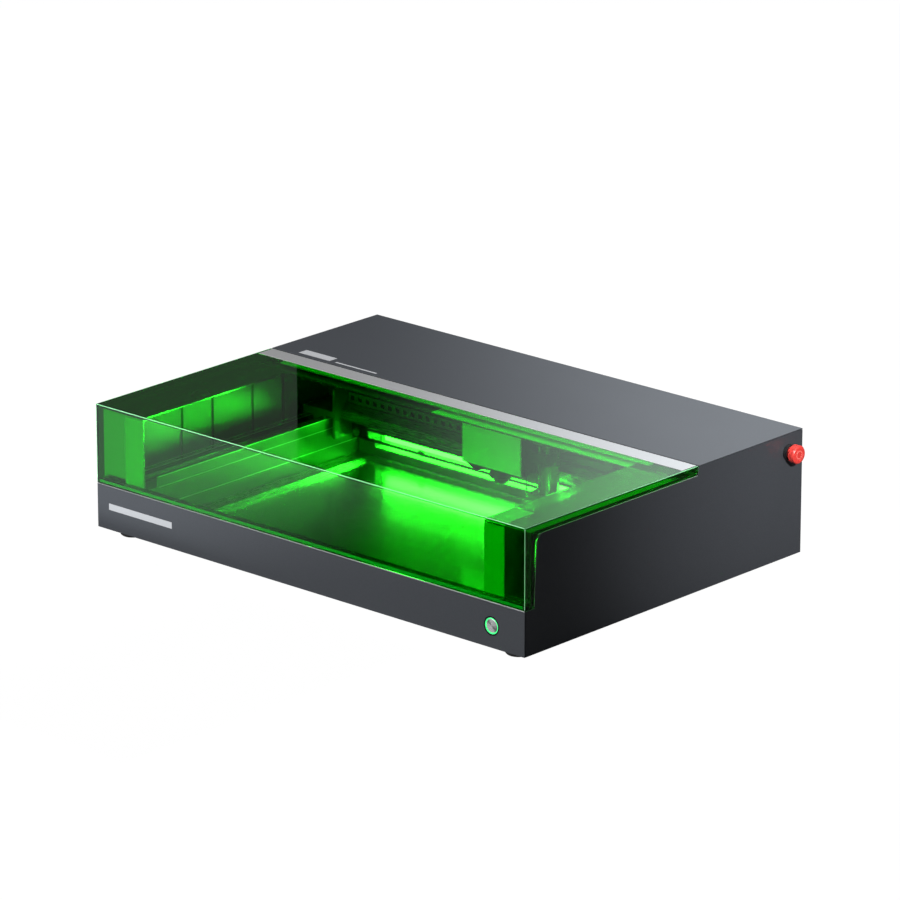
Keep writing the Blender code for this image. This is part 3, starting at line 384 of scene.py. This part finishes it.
# ------------------------------------------------------------- mesh helpers
def new_piece(name, mesh_tool, material, body, smooth=40):
    """Turns a bmesh into a piece of the machine that moves with a body.

    Edges sharper than smooth, in degrees, stay crisp.
    """
    bmesh.ops.recalc_face_normals(mesh_tool, faces=mesh_tool.faces)
    mesh = bpy.data.meshes.new(name)
    mesh_tool.to_mesh(mesh)
    mesh_tool.free()
    piece = bpy.data.objects.new(name, mesh)
    bpy.context.scene.collection.objects.link(piece)
    mesh.materials.append(material)
    mesh.shade_smooth()
    mesh.set_sharp_from_angle(angle=math.radians(smooth))
    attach(piece, body)
    return piece


def frame_along(direction):
    """A turn that takes Z to the direction."""
    return direction.to_track_quat("Z", "Y").to_matrix().to_4x4()


ON_THE_AXIS = 1e-7


def add_lathe(mesh_tool, profile, place, direction, steps=24):
    """Adds a turned shape: profile is a list of (radius, height along the direction)."""
    turn = Matrix.Translation(place) @ frame_along(direction)
    rings = []
    for radius, height in profile:
        if radius < ON_THE_AXIS:
            rings.append([mesh_tool.verts.new(turn @ Vector((0, 0, height)))])
            continue
        ring = []
        for i in range(steps):
            angle = 2 * math.pi * i / steps
            point = Vector((radius * math.cos(angle), radius * math.sin(angle), height))
            ring.append(mesh_tool.verts.new(turn @ point))
        rings.append(ring)
    for low, high in zip(rings, rings[1:]):
        for i in range(steps):
            j = (i + 1) % steps
            # A ring of one point closes the end, so its corner is named only once.
            corners = [low[i % len(low)], low[j % len(low)], high[j % len(high)], high[i % len(high)]]
            corners = list(dict.fromkeys(corners))
            if len(corners) > 2:
                mesh_tool.faces.new(corners)


def add_box(mesh_tool, low, high, bevel=0.0):
    """Adds a block between two corners, with rounded edges where a bevel is given."""
    made = bmesh.ops.create_cube(mesh_tool, size=1)
    size = Vector(high) - Vector(low)
    middle = (Vector(high) + Vector(low)) / 2
    for vertex in made["verts"]:
        vertex.co = Vector((vertex.co.x * size.x, vertex.co.y * size.y, vertex.co.z * size.z))
        vertex.co += middle
    if bevel:
        edges = list({edge for vertex in made["verts"] for edge in vertex.link_edges})
        bmesh.ops.bevel(mesh_tool, geom=edges, offset=bevel, segments=2, affect="EDGES")


CURVE_STEPS = 10


def add_tube(mesh_tool, points, radius, steps=12):
    """Adds a round tube along a smooth path through the points."""
    path = smooth_path(points, CURVE_STEPS)
    rings = []
    for i, point in enumerate(path):
        ahead = path[min(i + 1, len(path) - 1)]
        behind = path[max(i - 1, 0)]
        turn = frame_along((ahead - behind).normalized())
        ring = []
        for k in range(steps):
            angle = 2 * math.pi * k / steps
            spoke = Vector((radius * math.cos(angle), radius * math.sin(angle), 0))
            ring.append(mesh_tool.verts.new(point + turn @ spoke))
        rings.append(ring)
    for low, high in zip(rings, rings[1:]):
        for k in range(steps):
            after = (k + 1) % steps
            mesh_tool.faces.new((low[k], low[after], high[after], high[k]))
    mesh_tool.faces.new(rings[0])
    mesh_tool.faces.new(rings[-1])


def smooth_path(points, steps):
    """Points along a Catmull-Rom curve through the given points."""
    ends = [points[0], *points, points[-1]]
    path = []
    for a, b, c, d in zip(ends, ends[1:], ends[2:], ends[3:]):
        for i in range(steps):
            t = i / steps
            path.append(0.5 * ((2 * b) + (c - a) * t + (2 * a - 5 * b + 4 * c - d) * t * t
                               + (3 * b - a - 3 * c + d) * t ** 3))
    path.append(points[-1])
    return path


# ---------------------------------------------------------- small hardware
def socket_screws(name, places, direction, radius, height, body):
    """Round-headed screws with a round socket, all in one piece."""
    tool = bmesh.new()
    socket = radius * 0.5
    sunk = -0.0002
    profile = [(radius, sunk), (radius, height * 0.6), (radius * 0.85, height),
               (socket, height), (socket * 0.95, height * 0.35), (0, height * 0.3)]
    for place in places:
        add_lathe(tool, profile, place, direction, 18)
    new_piece(name, tool, SCREW, body, 35)


def inner_wall_ribs():
    """Four narrow dark ribs on each side wall of the chamber."""
    deep = 0.0012
    half_width = 0.0017
    low = at(0, 0, 0.0640).z
    high = at(0, 0, 0.1560).z
    for side_name, side in (("left", -1), ("right", 1)):
        tool = bmesh.new()
        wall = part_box(f"{side_name}_inner_wall")
        wall_x = wall[1].x if side < 0 else wall[0].x
        x = sorted((wall_x, wall_x - side * deep))
        for y in (-0.131, -0.072, 0.006, 0.066):
            middle = at(0, y, 0).y
            add_box(tool, (x[0], middle - half_width, low), (x[1], middle + half_width, high), 0.0003)
        new_piece(f"{side_name}_wall_ribs", tool, DARK_HOLE, "frame")


# Shares of one thread's pitch: where the crest ends, where the root starts and ends, and
# how long each flank between them is.
CREST_END = 0.30
ROOT_START = 0.50
ROOT_END = 0.80
FLANK = 0.20
RINGS_PER_THREAD = 6
POINTS_PER_RING = 20


def thread_depth(phase):
    """A trapezoid thread: 0 on the crest, 1 at the root."""
    if phase < CREST_END:
        return 0.0
    if phase < ROOT_START:
        return (phase - CREST_END) / FLANK
    if phase < ROOT_END:
        return 1.0
    return (1.0 - phase) / FLANK


def threaded_rod(node, direction, radius, lead, starts, depth, plain, body):
    """A lead screw with a several-start thread between two plain ends, in place of its plain node.

    The lead is how far one turn moves the nut, and plain is the length of each plain end.
    """
    low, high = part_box(node)
    middle = (low + high) / 2
    length = (high - low).dot(direction)
    start = middle - direction * length / 2
    turn = Matrix.Translation(start) @ frame_along(direction)
    pitch = lead / starts
    rings = int(round((length - 2 * plain) / pitch * RINGS_PER_THREAD))
    tool = bmesh.new()
    rows = []
    profile = [(0.0, radius - depth), (plain, radius - depth)]
    profile += [(plain + (length - 2 * plain) * i / rings, None) for i in range(rings + 1)]
    profile += [(length - plain, radius - depth), (length, radius - depth)]
    for along, fixed in profile:
        row = []
        for j in range(POINTS_PER_RING):
            share = j / POINTS_PER_RING
            reach = fixed
            if reach is None:
                reach = radius - depth * thread_depth((along / pitch - share * starts) % 1.0)
            angle = 2 * math.pi * share
            point = Vector((reach * math.cos(angle), reach * math.sin(angle), along))
            row.append(tool.verts.new(turn @ point))
        rows.append(row)
    for below, above in zip(rows, rows[1:]):
        for j in range(POINTS_PER_RING):
            k = (j + 1) % POINTS_PER_RING
            tool.faces.new((below[j], below[k], above[k], above[j]))
    tool.faces.new(rows[0])
    tool.faces.new(rows[-1])
    piece = new_piece(f"{node}_thread", tool, STEEL, body, 25)
    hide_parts(node)


def rail_screws():
    """Screws along the top of each Y rail: a bright rim round a dark head."""
    count = 7
    rim = 0.0030
    hole = 0.0024
    head = 0.0023
    sunk = -0.0002
    proud = 0.0001
    for side_name in ("left", "right"):
        low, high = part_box(f"{side_name}_y_rail")
        step = (high.y - low.y) / count
        middle = (low.x + high.x) / 2
        rims = bmesh.new()
        heads = bmesh.new()
        for i in range(count):
            place = Vector((middle, low.y + step * (i + 0.5), high.z))
            add_lathe(rims, [(rim, sunk), (rim, proud), (hole, proud), (hole, sunk)], place, Z_AXIS, 20)
            add_lathe(heads, [(head, sunk), (head, proud / 2), (0, proud / 2)], place, Z_AXIS, 16)
        new_piece(f"{side_name}_rail_screw_rims", rims, CHROME, "frame")
        new_piece(f"{side_name}_rail_screw_heads", heads, DARK_HOLE, "frame")


def chamber_edge_lines():
    """Pale strips along both top edges of each rail, painted as the highlight of its polished edges, and
    along each channel's folds, painted as their highlights.
    """
    wide = 0.0012
    proud = 0.00015
    edge = 0.0004
    fold_heights = (0.0354, 0.0616, 0.0763)
    highlight_strips = bmesh.new()
    fold_highlights = bmesh.new()
    for side_name, side in (("left", -1), ("right", 1)):
        low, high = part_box(f"{side_name}_y_rail")
        for x in (low.x + edge, high.x - edge - wide):
            add_box(highlight_strips, (x, low.y + 0.001, high.z - proud),
                    (x + wide, high.y - 0.001, high.z + proud))
        low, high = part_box(f"{side_name}_channel")
        face = low.x if side > 0 else high.x
        ends = (at(0, -0.232, 0).y, high.y - 0.004)
        x = sorted((face + side * proud, face - side * 2 * proud))
        for height in fold_heights:
            middle = at(0, 0, height).z
            add_box(fold_highlights, (x[0], ends[0], middle - wide / 2), (x[1], ends[1], middle + wide / 2))
    new_piece("rail_highlight_strips", highlight_strips, EDGE_LINE_HIGHLIGHT, "frame", 30)
    new_piece("channel_fold_highlights", fold_highlights, EDGE_LINE_HIGHLIGHT, "frame", 30)


def module_details():
    """The sheet deflector, lens ring and focus probe with its holder, under the laser module."""
    body = "laser_module"
    sheet = 0.0008
    front_and_back = (0.0660, 0.0850)
    outer_height = 0.0832
    inner_height = 0.0760
    deflector = bmesh.new()
    for outer_x, inner_x in ((-0.0215, -0.0060), (0.0640, 0.0440)):
        corners = ((outer_x, outer_height), (inner_x, inner_height))
        loop = []
        for y in front_and_back:
            for x, z in corners:
                loop.append((at(x, y, z), at(x, y, z - sheet)))
        order = (0, 1, 3, 2)
        upper = [deflector.verts.new(loop[i][0]) for i in order]
        lower = [deflector.verts.new(loop[i][1]) for i in order]
        deflector.faces.new(upper)
        deflector.faces.new(lower)
        for i in range(4):
            j = (i + 1) % 4
            deflector.faces.new((upper[i], upper[j], lower[j], lower[i]))
    new_piece("module_deflector", deflector, CHROME, body)

    bore = 0.0045
    rim = 0.0092
    thick = 0.0012
    ring = bmesh.new()
    add_lathe(ring, [(bore, 0.0), (rim, 0.0), (rim, thick), (bore, thick), (bore, 0.0)],
              at(0.0248, 0.081, 0.0638), Z_AXIS, 32)
    new_piece("lens_ring", ring, CHROME, body)

    # From its tip up: a rounded point, a thin shaft and a wider shoulder.
    probe_profile = [(0, 0), (0.0007, 0.0004), (0.0010, 0.0020), (0.0010, 0.026),
                     (0.0016, 0.027), (0.0016, 0.031), (0, 0.031)]
    probe = bmesh.new()
    add_lathe(probe, probe_profile, at(0.0752, 0.0745, 0.0560), Z_AXIS, 16)
    new_piece("focus_probe", probe, CHROME, body)
    holder = bmesh.new()
    add_box(holder, at(0.0700, 0.0712, 0.0838), at(0.0772, 0.0765, 0.0930), 0.0004)
    new_piece("probe_holder", holder, BLACK, body)


def axis_motor():
    """The small motor above the Z lead screw, and the screws of the bracket that carries it."""
    low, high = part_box("z_axis_bracket")
    flanges = bmesh.new()
    for bottom, top in ((0, 0.0045), (0.0180, 0.0225)):
        add_box(flanges, (low.x + 0.0005, low.y + 0.001, high.z + bottom),
                (low.x + 0.0225, low.y + 0.023, high.z + top), 0.0008)
    new_piece("z_motor_flanges", flanges, CHROME, "carriage")
    core = bmesh.new()
    add_box(core, (low.x + 0.0010, low.y + 0.0015, high.z + 0.0045),
            (low.x + 0.0220, low.y + 0.0225, high.z + 0.0180), 0.0015)
    new_piece("z_motor_core", core, BLACK, "carriage")
    places = [at(x, 0.0770, z) for x in (0.0825, 0.1045) for z in (0.0625, 0.1335)]
    socket_screws("z_bracket_screws", places, -Y_AXIS, 0.0012, 0.0008, "carriage")


def recess_fitting():
    """The round sensor with its bright rim, below the lamp."""
    place = at(-0.202, 0.1724, 0.0335)
    bore = 0.0042
    rim = 0.0060
    tool = bmesh.new()
    add_lathe(tool, [(bore, 0), (rim, 0), (rim, 0.0030), (0.0052, 0.0036), (bore, 0.0030), (bore, 0)],
              place, -Y_AXIS, 32)
    new_piece("sensor_rim", tool, CHROME, "frame")
    lens = bmesh.new()
    add_lathe(lens, [(0.0041, 0), (0.0041, 0.0016), (0.0025, 0.0026), (0, 0.0030)], place, -Y_AXIS, 24)
    new_piece("sensor_lens", lens, BLACK, "frame")


def opening_strips():
    """The strips round the opening below the lid, and the round stop on its left side.

    The left side and the left of the rear are dark. The rest of the rear is pale, and so is a short
    length at the front of the right side: these pale lengths are painted light, where light falls bright
    on the opening's edge.
    """
    low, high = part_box("opening_frame")
    top = high.z
    thick = 0.0005
    gap = 0.0003
    width = 0.034
    middle = at(0, 0, 0).x
    inner = 0.3045
    rear = at(0, 0.0115, 0).y
    back = high.y - 0.0005
    front = low.y + 0.0010
    pale_left = middle - 0.040
    dark = bmesh.new()
    add_box(dark, (middle - inner - width, front, top), (middle - inner, rear, top + thick), 0.0002)
    add_box(dark, (middle - inner - width, rear + gap, top), (pale_left, back, top + thick), 0.0002)
    new_piece("opening_dark_gasket", dark, GLOSS_STRIP, "frame", 30)
    # The pale lengths are painted light on the strip.
    pale = bmesh.new()
    add_box(pale, (pale_left + gap, rear + gap, top), (middle + inner, back, top + thick), 0.0002)
    add_box(pale, (middle + inner, front, top),
            (middle + inner + width, front + 0.055, top + thick), 0.0001)
    new_piece("opening_painted_light_strip", pale, PAINTED_LIGHT_STRIP, "frame", 30)
    legs = bmesh.new()
    leg_foot = at(0, 0, 0.0650).z
    for side in (-1, 1):
        leg = sorted((middle + side * inner, middle + side * (inner + width)))
        add_box(legs, (leg[0], low.y - thick, leg_foot), (leg[1], low.y, top - 0.002), 0.0002)
    new_piece("opening_leg_strips", legs, LEG_STRIP, "frame", 30)
    stop = bmesh.new()
    stop_profile = [(0.0125, 0), (0.0125, 0.0016), (0.0105, 0.0034), (0.0060, 0.0044), (0, 0.0046)]
    add_lathe(stop, stop_profile, at(-0.3210, -0.139, 0.1640), Z_AXIS, 32)
    new_piece("lid_stop", stop, BLACK, "frame")


def lid_edges():
    """Pale green strips along the acrylic lid's edges, as painted highlights, and a green strip along
    the bottom of its front, as a painted glow of that edge.
    """
    low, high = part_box("lid_shell")
    deep = 0.0010
    skin = 0.0001
    left = (low.x + skin, low.x + deep)
    right = (high.x - deep, high.x - skin)
    front = (low.y + skin, low.y + deep)
    top = (high.z - deep, high.z - skin)
    along = (low.x + deep, high.x - deep)
    back = (low.y + deep, high.y - skin)
    upright = (low.z + deep, high.z - deep)
    tool = bmesh.new()
    for x, y, z in ((along, front, top), (left, back, top), (right, back, top),
                    (left, front, upright), (right, front, upright)):
        add_box(tool, (x[0], y[0], z[0]), (x[1], y[1], z[1]), 0.0003)
    new_piece("lid_edge_painted_highlights", tool, ACRYLIC_EDGE_HIGHLIGHT, "lid", 30)
    # A green strip inside the bottom of the lid's front: painted glow of that edge.
    lip = bmesh.new()
    add_box(lip, (low.x + 0.004, low.y + 0.0012, low.z + 0.0016),
            (high.x - 0.004, low.y + 0.0020, low.z + 0.0056), 0.0002)
    new_piece("lid_lip_painted_glow", lip, ACRYLIC_LIP_GLOW, "lid", 30)


def sheet_edges():
    """Pale lines on the housing's sheet edges where the lid meets them, and on its front folds, painted
    as highlights.
    """
    radius = 0.0007
    inset = 0.0005
    skin = 0.0001
    tool = bmesh.new()
    x = HALF_WIDTH - radius - skin
    y = panel_low.y - at(0, 0, 0).y + radius + skin
    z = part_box("front_panel")[1].z - at(0, 0, 0).z - inset
    add_tube(tool, [at(-x, y, z), at(x, y, z)], radius)

    # Each side panel's edge rises at the front, turns through a rounded corner and runs back.
    ledge = 0.1597 - inset
    corner = Vector((-0.2400 + inset, 0.1463 - inset))
    corner_radius = 0.0134
    corner_steps = 5
    for side in (-1, 1):
        points = [at(side * x, -0.2579 + inset, 0.0640), at(side * x, -0.2556 + inset, 0.1100)]
        for step in range(corner_steps):
            angle = math.radians(180 - 22.5 * step)
            points.append(at(side * x, corner.x + corner_radius * math.cos(angle),
                             corner.y + corner_radius * math.sin(angle)))
        points += [at(side * x, -0.1000, ledge), at(side * x, 0.0610, ledge)]
        add_tube(tool, points, radius)
    new_piece("sheet_edge_highlight_lines", tool, SHEET_EDGE_HIGHLIGHT, "frame", 50)

    # Thin tubes on the front panel's vertical folds, in a lighter grey as painted highlights.
    fold = bmesh.new()
    fold_radius = 0.0005
    fold_inset = 0.0006
    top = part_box("front_panel")[1].z - 0.001
    for side in (-1, 1):
        fold_x = at(side * (HALF_WIDTH - fold_inset), 0, 0).x
        fold_y = panel_low.y + fold_inset
        add_tube(fold, [Vector((fold_x, fold_y, panel_low.z + 0.001)), Vector((fold_x, fold_y, top))],
                 fold_radius, 8)
    new_piece("panel_fold_painted_highlights", fold, FOLD_HIGHLIGHT, "frame", 50)


def stop_details():
    """A raised ring on the stop's face, in a paler red that paints its highlight, and grip ribs round
    its side.
    """
    low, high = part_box("stop_head")
    middle = (low + high) / 2
    face = high.x - 0.0007
    ring = bmesh.new()
    ring_profile = [(0.0046, 0), (0.0048, 0.0004), (0.0058, 0.0004), (0.0060, 0), (0.0046, 0)]
    add_lathe(ring, ring_profile, Vector((face, middle.y, middle.z)), X_AXIS, 32)
    new_piece("stop_face_ring", ring, RED_RING_HIGHLIGHT, "stop_knob", 30)

    rib_count = 28
    rib_start = 0.0022
    rib_length = 0.0062
    rib_radius = 0.0004
    radius = (high.y - low.y) / 2 - 0.00035
    ribs = bmesh.new()
    for i in range(rib_count):
        angle = 2 * math.pi * i / rib_count
        spot = Vector((0, radius * math.cos(angle), radius * math.sin(angle)))
        start = Vector((low.x + rib_start, middle.y, middle.z)) + spot
        add_tube(ribs, [start, start + X_AXIS * rib_length], rib_radius, 6)
    new_piece("stop_grip_ribs", ribs, RED, "stop_knob", 40)


def lamp_reflector():
    """The white lining of the recess that the lamp sits in: its back and its floor."""
    sheet = 0.0004
    half = 0.2776
    back = (0.1720, 0.1724)
    floor_height = 0.0271
    tool = bmesh.new()
    add_box(tool, at(-half, back[0], 0.0275), at(half, back[1], 0.0475))
    add_box(tool, at(-half, 0.1590, floor_height), at(half, back[1], floor_height + sheet))
    new_piece("lamp_reflector", tool, WHITE_LINING, "frame", 30)


def rear_block(name, material, x, z, y, rounding):
    """A block on the rear panel, from its spans across the housing, up it and from front to back."""
    tool = bmesh.new()
    low = at(x[0], 0, z[0])
    high = at(x[1], 0, z[1])
    add_box(tool, (low.x, y[0], low.z), (high.x, y[1], high.z), rounding)
    new_piece(name, tool, material, "frame", 30)


def rear_details():
    """Screws, a blank rating plate and a data port on the rear panel."""
    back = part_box("rear_panel")[1].y
    fan = (0.200, 0.100)
    fan_screw = 0.0525
    places = [(x, z) for z in (0.012, 0.161) for x in (-0.370, -0.190, 0.0, 0.370)]
    places += [(fan[0] + dx, fan[1] + dz)
               for dx in (-fan_screw, fan_screw) for dz in (-fan_screw, fan_screw)]
    places = [Vector((at(x, 0, 0).x, back, at(0, 0, z).z)) for x, z in places]
    socket_screws("rear_screws", places, Y_AXIS, 0.0030, 0.0016, "frame")
    rear_block("rating_plate", PALE_MARK, (-0.145, -0.060), (0.090, 0.140),
               (back - 0.0001, back + 0.0004), 0.0001)
    rear_block("data_port_shell", CHROME, (-0.225, -0.211), (0.034, 0.046),
               (back - 0.0001, back + 0.0012), 0.0004)
    # The port's mouth is a flat near-black plate: painted shade for the inside of the opening.
    rear_block("data_port_mouth", DARK_HOLE, (-0.2235, -0.2125), (0.0355, 0.0445),
               (back + 0.0008, back + 0.0014), 0.0002)


def underside_screws():
    """Screws through the base plate, and one under each foot."""
    places = [at(x, y, 0) for x in (-0.300, -0.100, 0.100, 0.300) for y in (-0.262, 0.0, 0.255)]
    socket_screws("underside_screws", places, -Z_AXIS, 0.0028, 0.0014, "frame")
    feet = [at(x, y, -0.0088) for x in (-0.346, 0.346) for y in (-0.246, 0.246)]
    socket_screws("foot_screws", feet, -Z_AXIS, 0.0034, 0.0008, "frame")


def inlay(name, node, low, high, rounding):
    """A flush inlaid strip: the panel gets a shallow pocket, and the strip lies in it.

    The strip's thinnest way is the way it faces: up on the top cover, and forward on the front.
    """
    deep = 0.0004
    gap = 0.0002
    past_the_face = 0.002
    thin = min(range(3), key=lambda i: high[i] - low[i])
    cutter_low = [low[i] - gap for i in range(3)]
    cutter_high = [high[i] + gap for i in range(3)]
    faces_up = thin == 2
    if faces_up:
        cutter_low[thin] = high[thin] - deep
        cutter_high[thin] = high[thin] + past_the_face
    else:
        cutter_low[thin] = low[thin] - past_the_face
        cutter_high[thin] = low[thin] + deep
    tool = bmesh.new()
    add_box(tool, cutter_low, cutter_high)
    mesh = bpy.data.meshes.new(f"{name}_pocket")
    tool.to_mesh(mesh)
    tool.free()
    cutter = bpy.data.objects.new(f"{name}_pocket", mesh)
    bpy.context.scene.collection.objects.link(cutter)
    cutter.hide_render = True
    cutter.display_type = "WIRE"
    pocket = nodes[node].modifiers.new(f"{name}_pocket", "BOOLEAN")
    pocket.object = cutter
    pocket.operation = "DIFFERENCE"
    strip = bmesh.new()
    add_box(strip, low, high, rounding)
    new_piece(name, strip, PALE_MARK, "frame", 30)


def blank_marks():
    """A blank badge on the front panel and two plain bars on the top cover."""
    front = panel_low.y
    top = cover_high.z
    thick = 0.0003
    rounding = 0.0001
    for name, x, y in (("cover_mark_wide", (-0.340, -0.282), (0.0720, 0.0880)),
                       ("cover_mark_thin", (-0.272, -0.196), (0.0720, 0.0755))):
        low = at(x[0], y[0], 0)
        high = at(x[1], y[1], 0)
        inlay(name, "top_cover", (low.x, low.y, top - thick), (high.x, high.y, top), rounding)
    low = at(-0.361, 0, 0.0285)
    high = at(-0.243, 0, 0.0375)
    inlay("front_badge", "front_panel", (low.x, front, low.z), (high.x, front + thick, high.z), rounding)


# ------------------------------------------------------------------- studio
# The camera looks at CAMERA_AIM; its azimuth is turned from the front towards the right.
CAMERA_AIM = Vector((0.04641, -0.06101, 0.1614))
CAMERA_AZIMUTH = math.radians(42.2)
CAMERA_ELEVATION = math.radians(18.22)
CAMERA_DISTANCE = 8.07009
CAMERA_LENS = 245.54
CAMERA_SENSOR = 36.0
CAMERA_FAR = 60.0

FLOOR_SIZE = 40
FLOOR_COLOUR = (0.06, 0.06, 0.06)
FLOOR_DIMMING = 0.6

# Each card is dark at the first X and bright at the second, and level is its brightest.
CARD_COLOUR = (0.86, 0.93, 1.0, 1)
BACK_CARD_PLACE = Vector((-1.2, 2.0, 1.05))
BACK_CARD_DARK_X = -2.05
BACK_CARD_BRIGHT_X = -1.15
BACK_CARD_LEVEL = 1.2
FLOOR_CARD_PLACE = Vector((-0.36, -0.60, 0.004))
FLOOR_CARD_DARK_X = -0.02
FLOOR_CARD_BRIGHT_X = -0.45
FLOOR_CARD_LEVEL = 1.0

WORLD_COLOUR = (0.95, 0.98, 1.0, 1)
WORLD_STRENGTH = 0.10
# Name, place, target, width, height, power in watts, and spread in degrees.
LAMPS = (
    ("overhead_softbox", (0.25, 0.55, 2.0), (0.15, 0.10, 0.17), 1.0, 1.0, 30, 180),
    ("edge_softbox", (-1.5, -0.15, 1.85), (0, 0, 0.1), 1.7, 0.8, 5, 180),
    ("front_softbox", (-0.35, -2.0, 0.60), (0.0, -0.20, 0.12), 0.9, 0.7, 34, 180),
    ("stop_light", (2.2, -0.9, 1.2), (0.39, 0.24, 0.157), 0.15, 0.15, 0.9, 20),
)


def camera():
    """A long lens from the front right, a little above the machine."""
    data = bpy.data.cameras.new("camera")
    data.lens = CAMERA_LENS
    data.sensor_width = CAMERA_SENSOR
    data.clip_end = CAMERA_FAR
    back = Vector((math.sin(CAMERA_AZIMUTH) * math.cos(CAMERA_ELEVATION),
                   -math.cos(CAMERA_AZIMUTH) * math.cos(CAMERA_ELEVATION),
                   math.sin(CAMERA_ELEVATION)))
    eye = bpy.data.objects.new("camera", data)
    bpy.context.scene.collection.objects.link(eye)
    eye.location = CAMERA_AIM + back * CAMERA_DISTANCE
    eye.rotation_mode = "QUATERNION"
    eye.rotation_quaternion = (-back).to_track_quat("-Z", "Y")
    bpy.context.scene.camera = eye


def stage_plane(name, place, facing, width, height, material):
    """A flat stage surface, facing the given direction."""
    tool = bmesh.new()
    turn = Matrix.Translation(place) @ frame_along(facing.normalized())
    corners = [turn @ Vector((x * width / 2, y * height / 2, 0))
               for x, y in ((-1, -1), (1, -1), (1, 1), (-1, 1))]
    tool.faces.new([tool.verts.new(c) for c in corners])
    mesh = bpy.data.meshes.new(name)
    tool.to_mesh(mesh)
    tool.free()
    plane = bpy.data.objects.new(name, mesh)
    bpy.context.scene.collection.objects.link(plane)
    mesh.materials.append(material)
    return plane


def floor():
    """A floor that the camera sees as near white, and that other rays see as dark and matt."""
    material, shader = new_material("pale_floor")
    noise = add_noise(material, scale=3.0, detail=4.0)
    vary_colour(material, shader, noise, FLOOR_COLOUR, spread=0.015)
    shader.inputs["Roughness"].default_value = 0.9
    shader.inputs["Specular IOR Level"].default_value = 0.1
    # To the camera it is the dimmed matt floor with an even white glow added.
    tree = material.node_tree
    light = tree.nodes.new("ShaderNodeEmission")
    light.inputs["Strength"].default_value = 1.0
    both = tree.nodes.new("ShaderNodeAddShader")
    seen = tree.nodes.new("ShaderNodeMixShader")
    seen.inputs["Fac"].default_value = FLOOR_DIMMING
    path = tree.nodes.new("ShaderNodeLightPath")
    mix = tree.nodes.new("ShaderNodeMixShader")
    tree.links.new(shader.outputs["BSDF"], seen.inputs[1])
    tree.links.new(seen.outputs["Shader"], both.inputs[0])
    tree.links.new(light.outputs["Emission"], both.inputs[1])
    tree.links.new(path.outputs["Is Camera Ray"], mix.inputs["Fac"])
    tree.links.new(shader.outputs["BSDF"], mix.inputs[1])
    tree.links.new(both.outputs["Shader"], mix.inputs[2])
    tree.links.new(mix.outputs["Shader"], tree.nodes["Material Output"].inputs["Surface"])
    stage_plane("floor", Vector((0, 0, 0)), Z_AXIS, FLOOR_SIZE, FLOOR_SIZE, material)


def graded_card(name, place, facing, width, height, dark_x, bright_x, level):
    """A card that fades from dark to bright along X; only reflections and bounced light see it."""
    material, shader = new_material(name)
    tree = material.node_tree
    coordinates = tree.nodes.new("ShaderNodeTexCoord")
    split = tree.nodes.new("ShaderNodeSeparateXYZ")
    ramp = tree.nodes.new("ShaderNodeMapRange")
    ramp.interpolation_type = "SMOOTHSTEP"
    ramp.inputs["From Min"].default_value = dark_x
    ramp.inputs["From Max"].default_value = bright_x
    ramp.inputs["To Min"].default_value = 0.0
    ramp.inputs["To Max"].default_value = level
    light = tree.nodes.new("ShaderNodeEmission")
    light.inputs["Color"].default_value = CARD_COLOUR
    tree.links.new(coordinates.outputs["Object"], split.inputs["Vector"])
    tree.links.new(split.outputs["X"], ramp.inputs["Value"])
    tree.links.new(ramp.outputs["Result"], light.inputs["Strength"])
    tree.links.new(light.outputs["Emission"], tree.nodes["Material Output"].inputs["Surface"])
    card = stage_plane(name, place, facing, width, height, material)
    card.visible_camera = False


def cards():
    """A tall card behind on the left for the top faces, and one on the floor for the front."""
    graded_card("back_card", BACK_CARD_PLACE, -Y_AXIS, 2.0, 1.3,
                BACK_CARD_DARK_X, BACK_CARD_BRIGHT_X, BACK_CARD_LEVEL)
    graded_card("floor_card", FLOOR_CARD_PLACE, Z_AXIS, 1.2, 0.55,
                FLOOR_CARD_DARK_X, FLOOR_CARD_BRIGHT_X, FLOOR_CARD_LEVEL)


def area_light(name, place, target, width, height, power, spread):
    """A rectangular lamp that faces its target and is hidden from the camera."""
    data = bpy.data.lights.new(name, "AREA")
    data.shape = "RECTANGLE"
    data.size = width
    data.size_y = height
    data.energy = power
    data.spread = math.radians(spread)
    lamp = bpy.data.objects.new(name, data)
    bpy.context.scene.collection.objects.link(lamp)
    lamp.location = place
    lamp.rotation_mode = "QUATERNION"
    lamp.rotation_quaternion = (Vector(target) - Vector(place)).to_track_quat("-Z", "Y")
    lamp.visible_camera = False


def lights():
    """A dim even sky and the lamps."""
    world = bpy.data.worlds.new("studio")
    bpy.context.scene.world = world
    world.use_nodes = True
    background = world.node_tree.nodes["Background"]
    background.inputs["Color"].default_value = WORLD_COLOUR
    background.inputs["Strength"].default_value = WORLD_STRENGTH
    for lamp in LAMPS:
        area_light(*lamp)


def view_settings():
    """Colours are shown as they are, with no film look."""
    settings = bpy.context.scene.view_settings
    settings.view_transform = "Standard"
    settings.look = "None"


# --------------------------------------------------------------------- main
finish_nodes()
inner_wall_ribs()
for rod_side in ("left", "right"):
    threaded_rod(f"{rod_side}_y_screw", Y_AXIS, radius=0.004, lead=0.010, starts=4,
                 depth=0.0007, plain=0.010, body=f"{rod_side}_lead_screw")
threaded_rod("z_screw", Z_AXIS, radius=0.003, lead=0.004, starts=2,
             depth=0.0006, plain=0.003, body="z_lead_screw")
rail_screws()
chamber_edge_lines()
module_details()
axis_motor()
recess_fitting()
opening_strips()
lid_edges()
sheet_edges()
stop_details()
lamp_reflector()
rear_details()
underside_screws()
blank_marks()
floor()
cards()
lights()
camera()
view_settings()
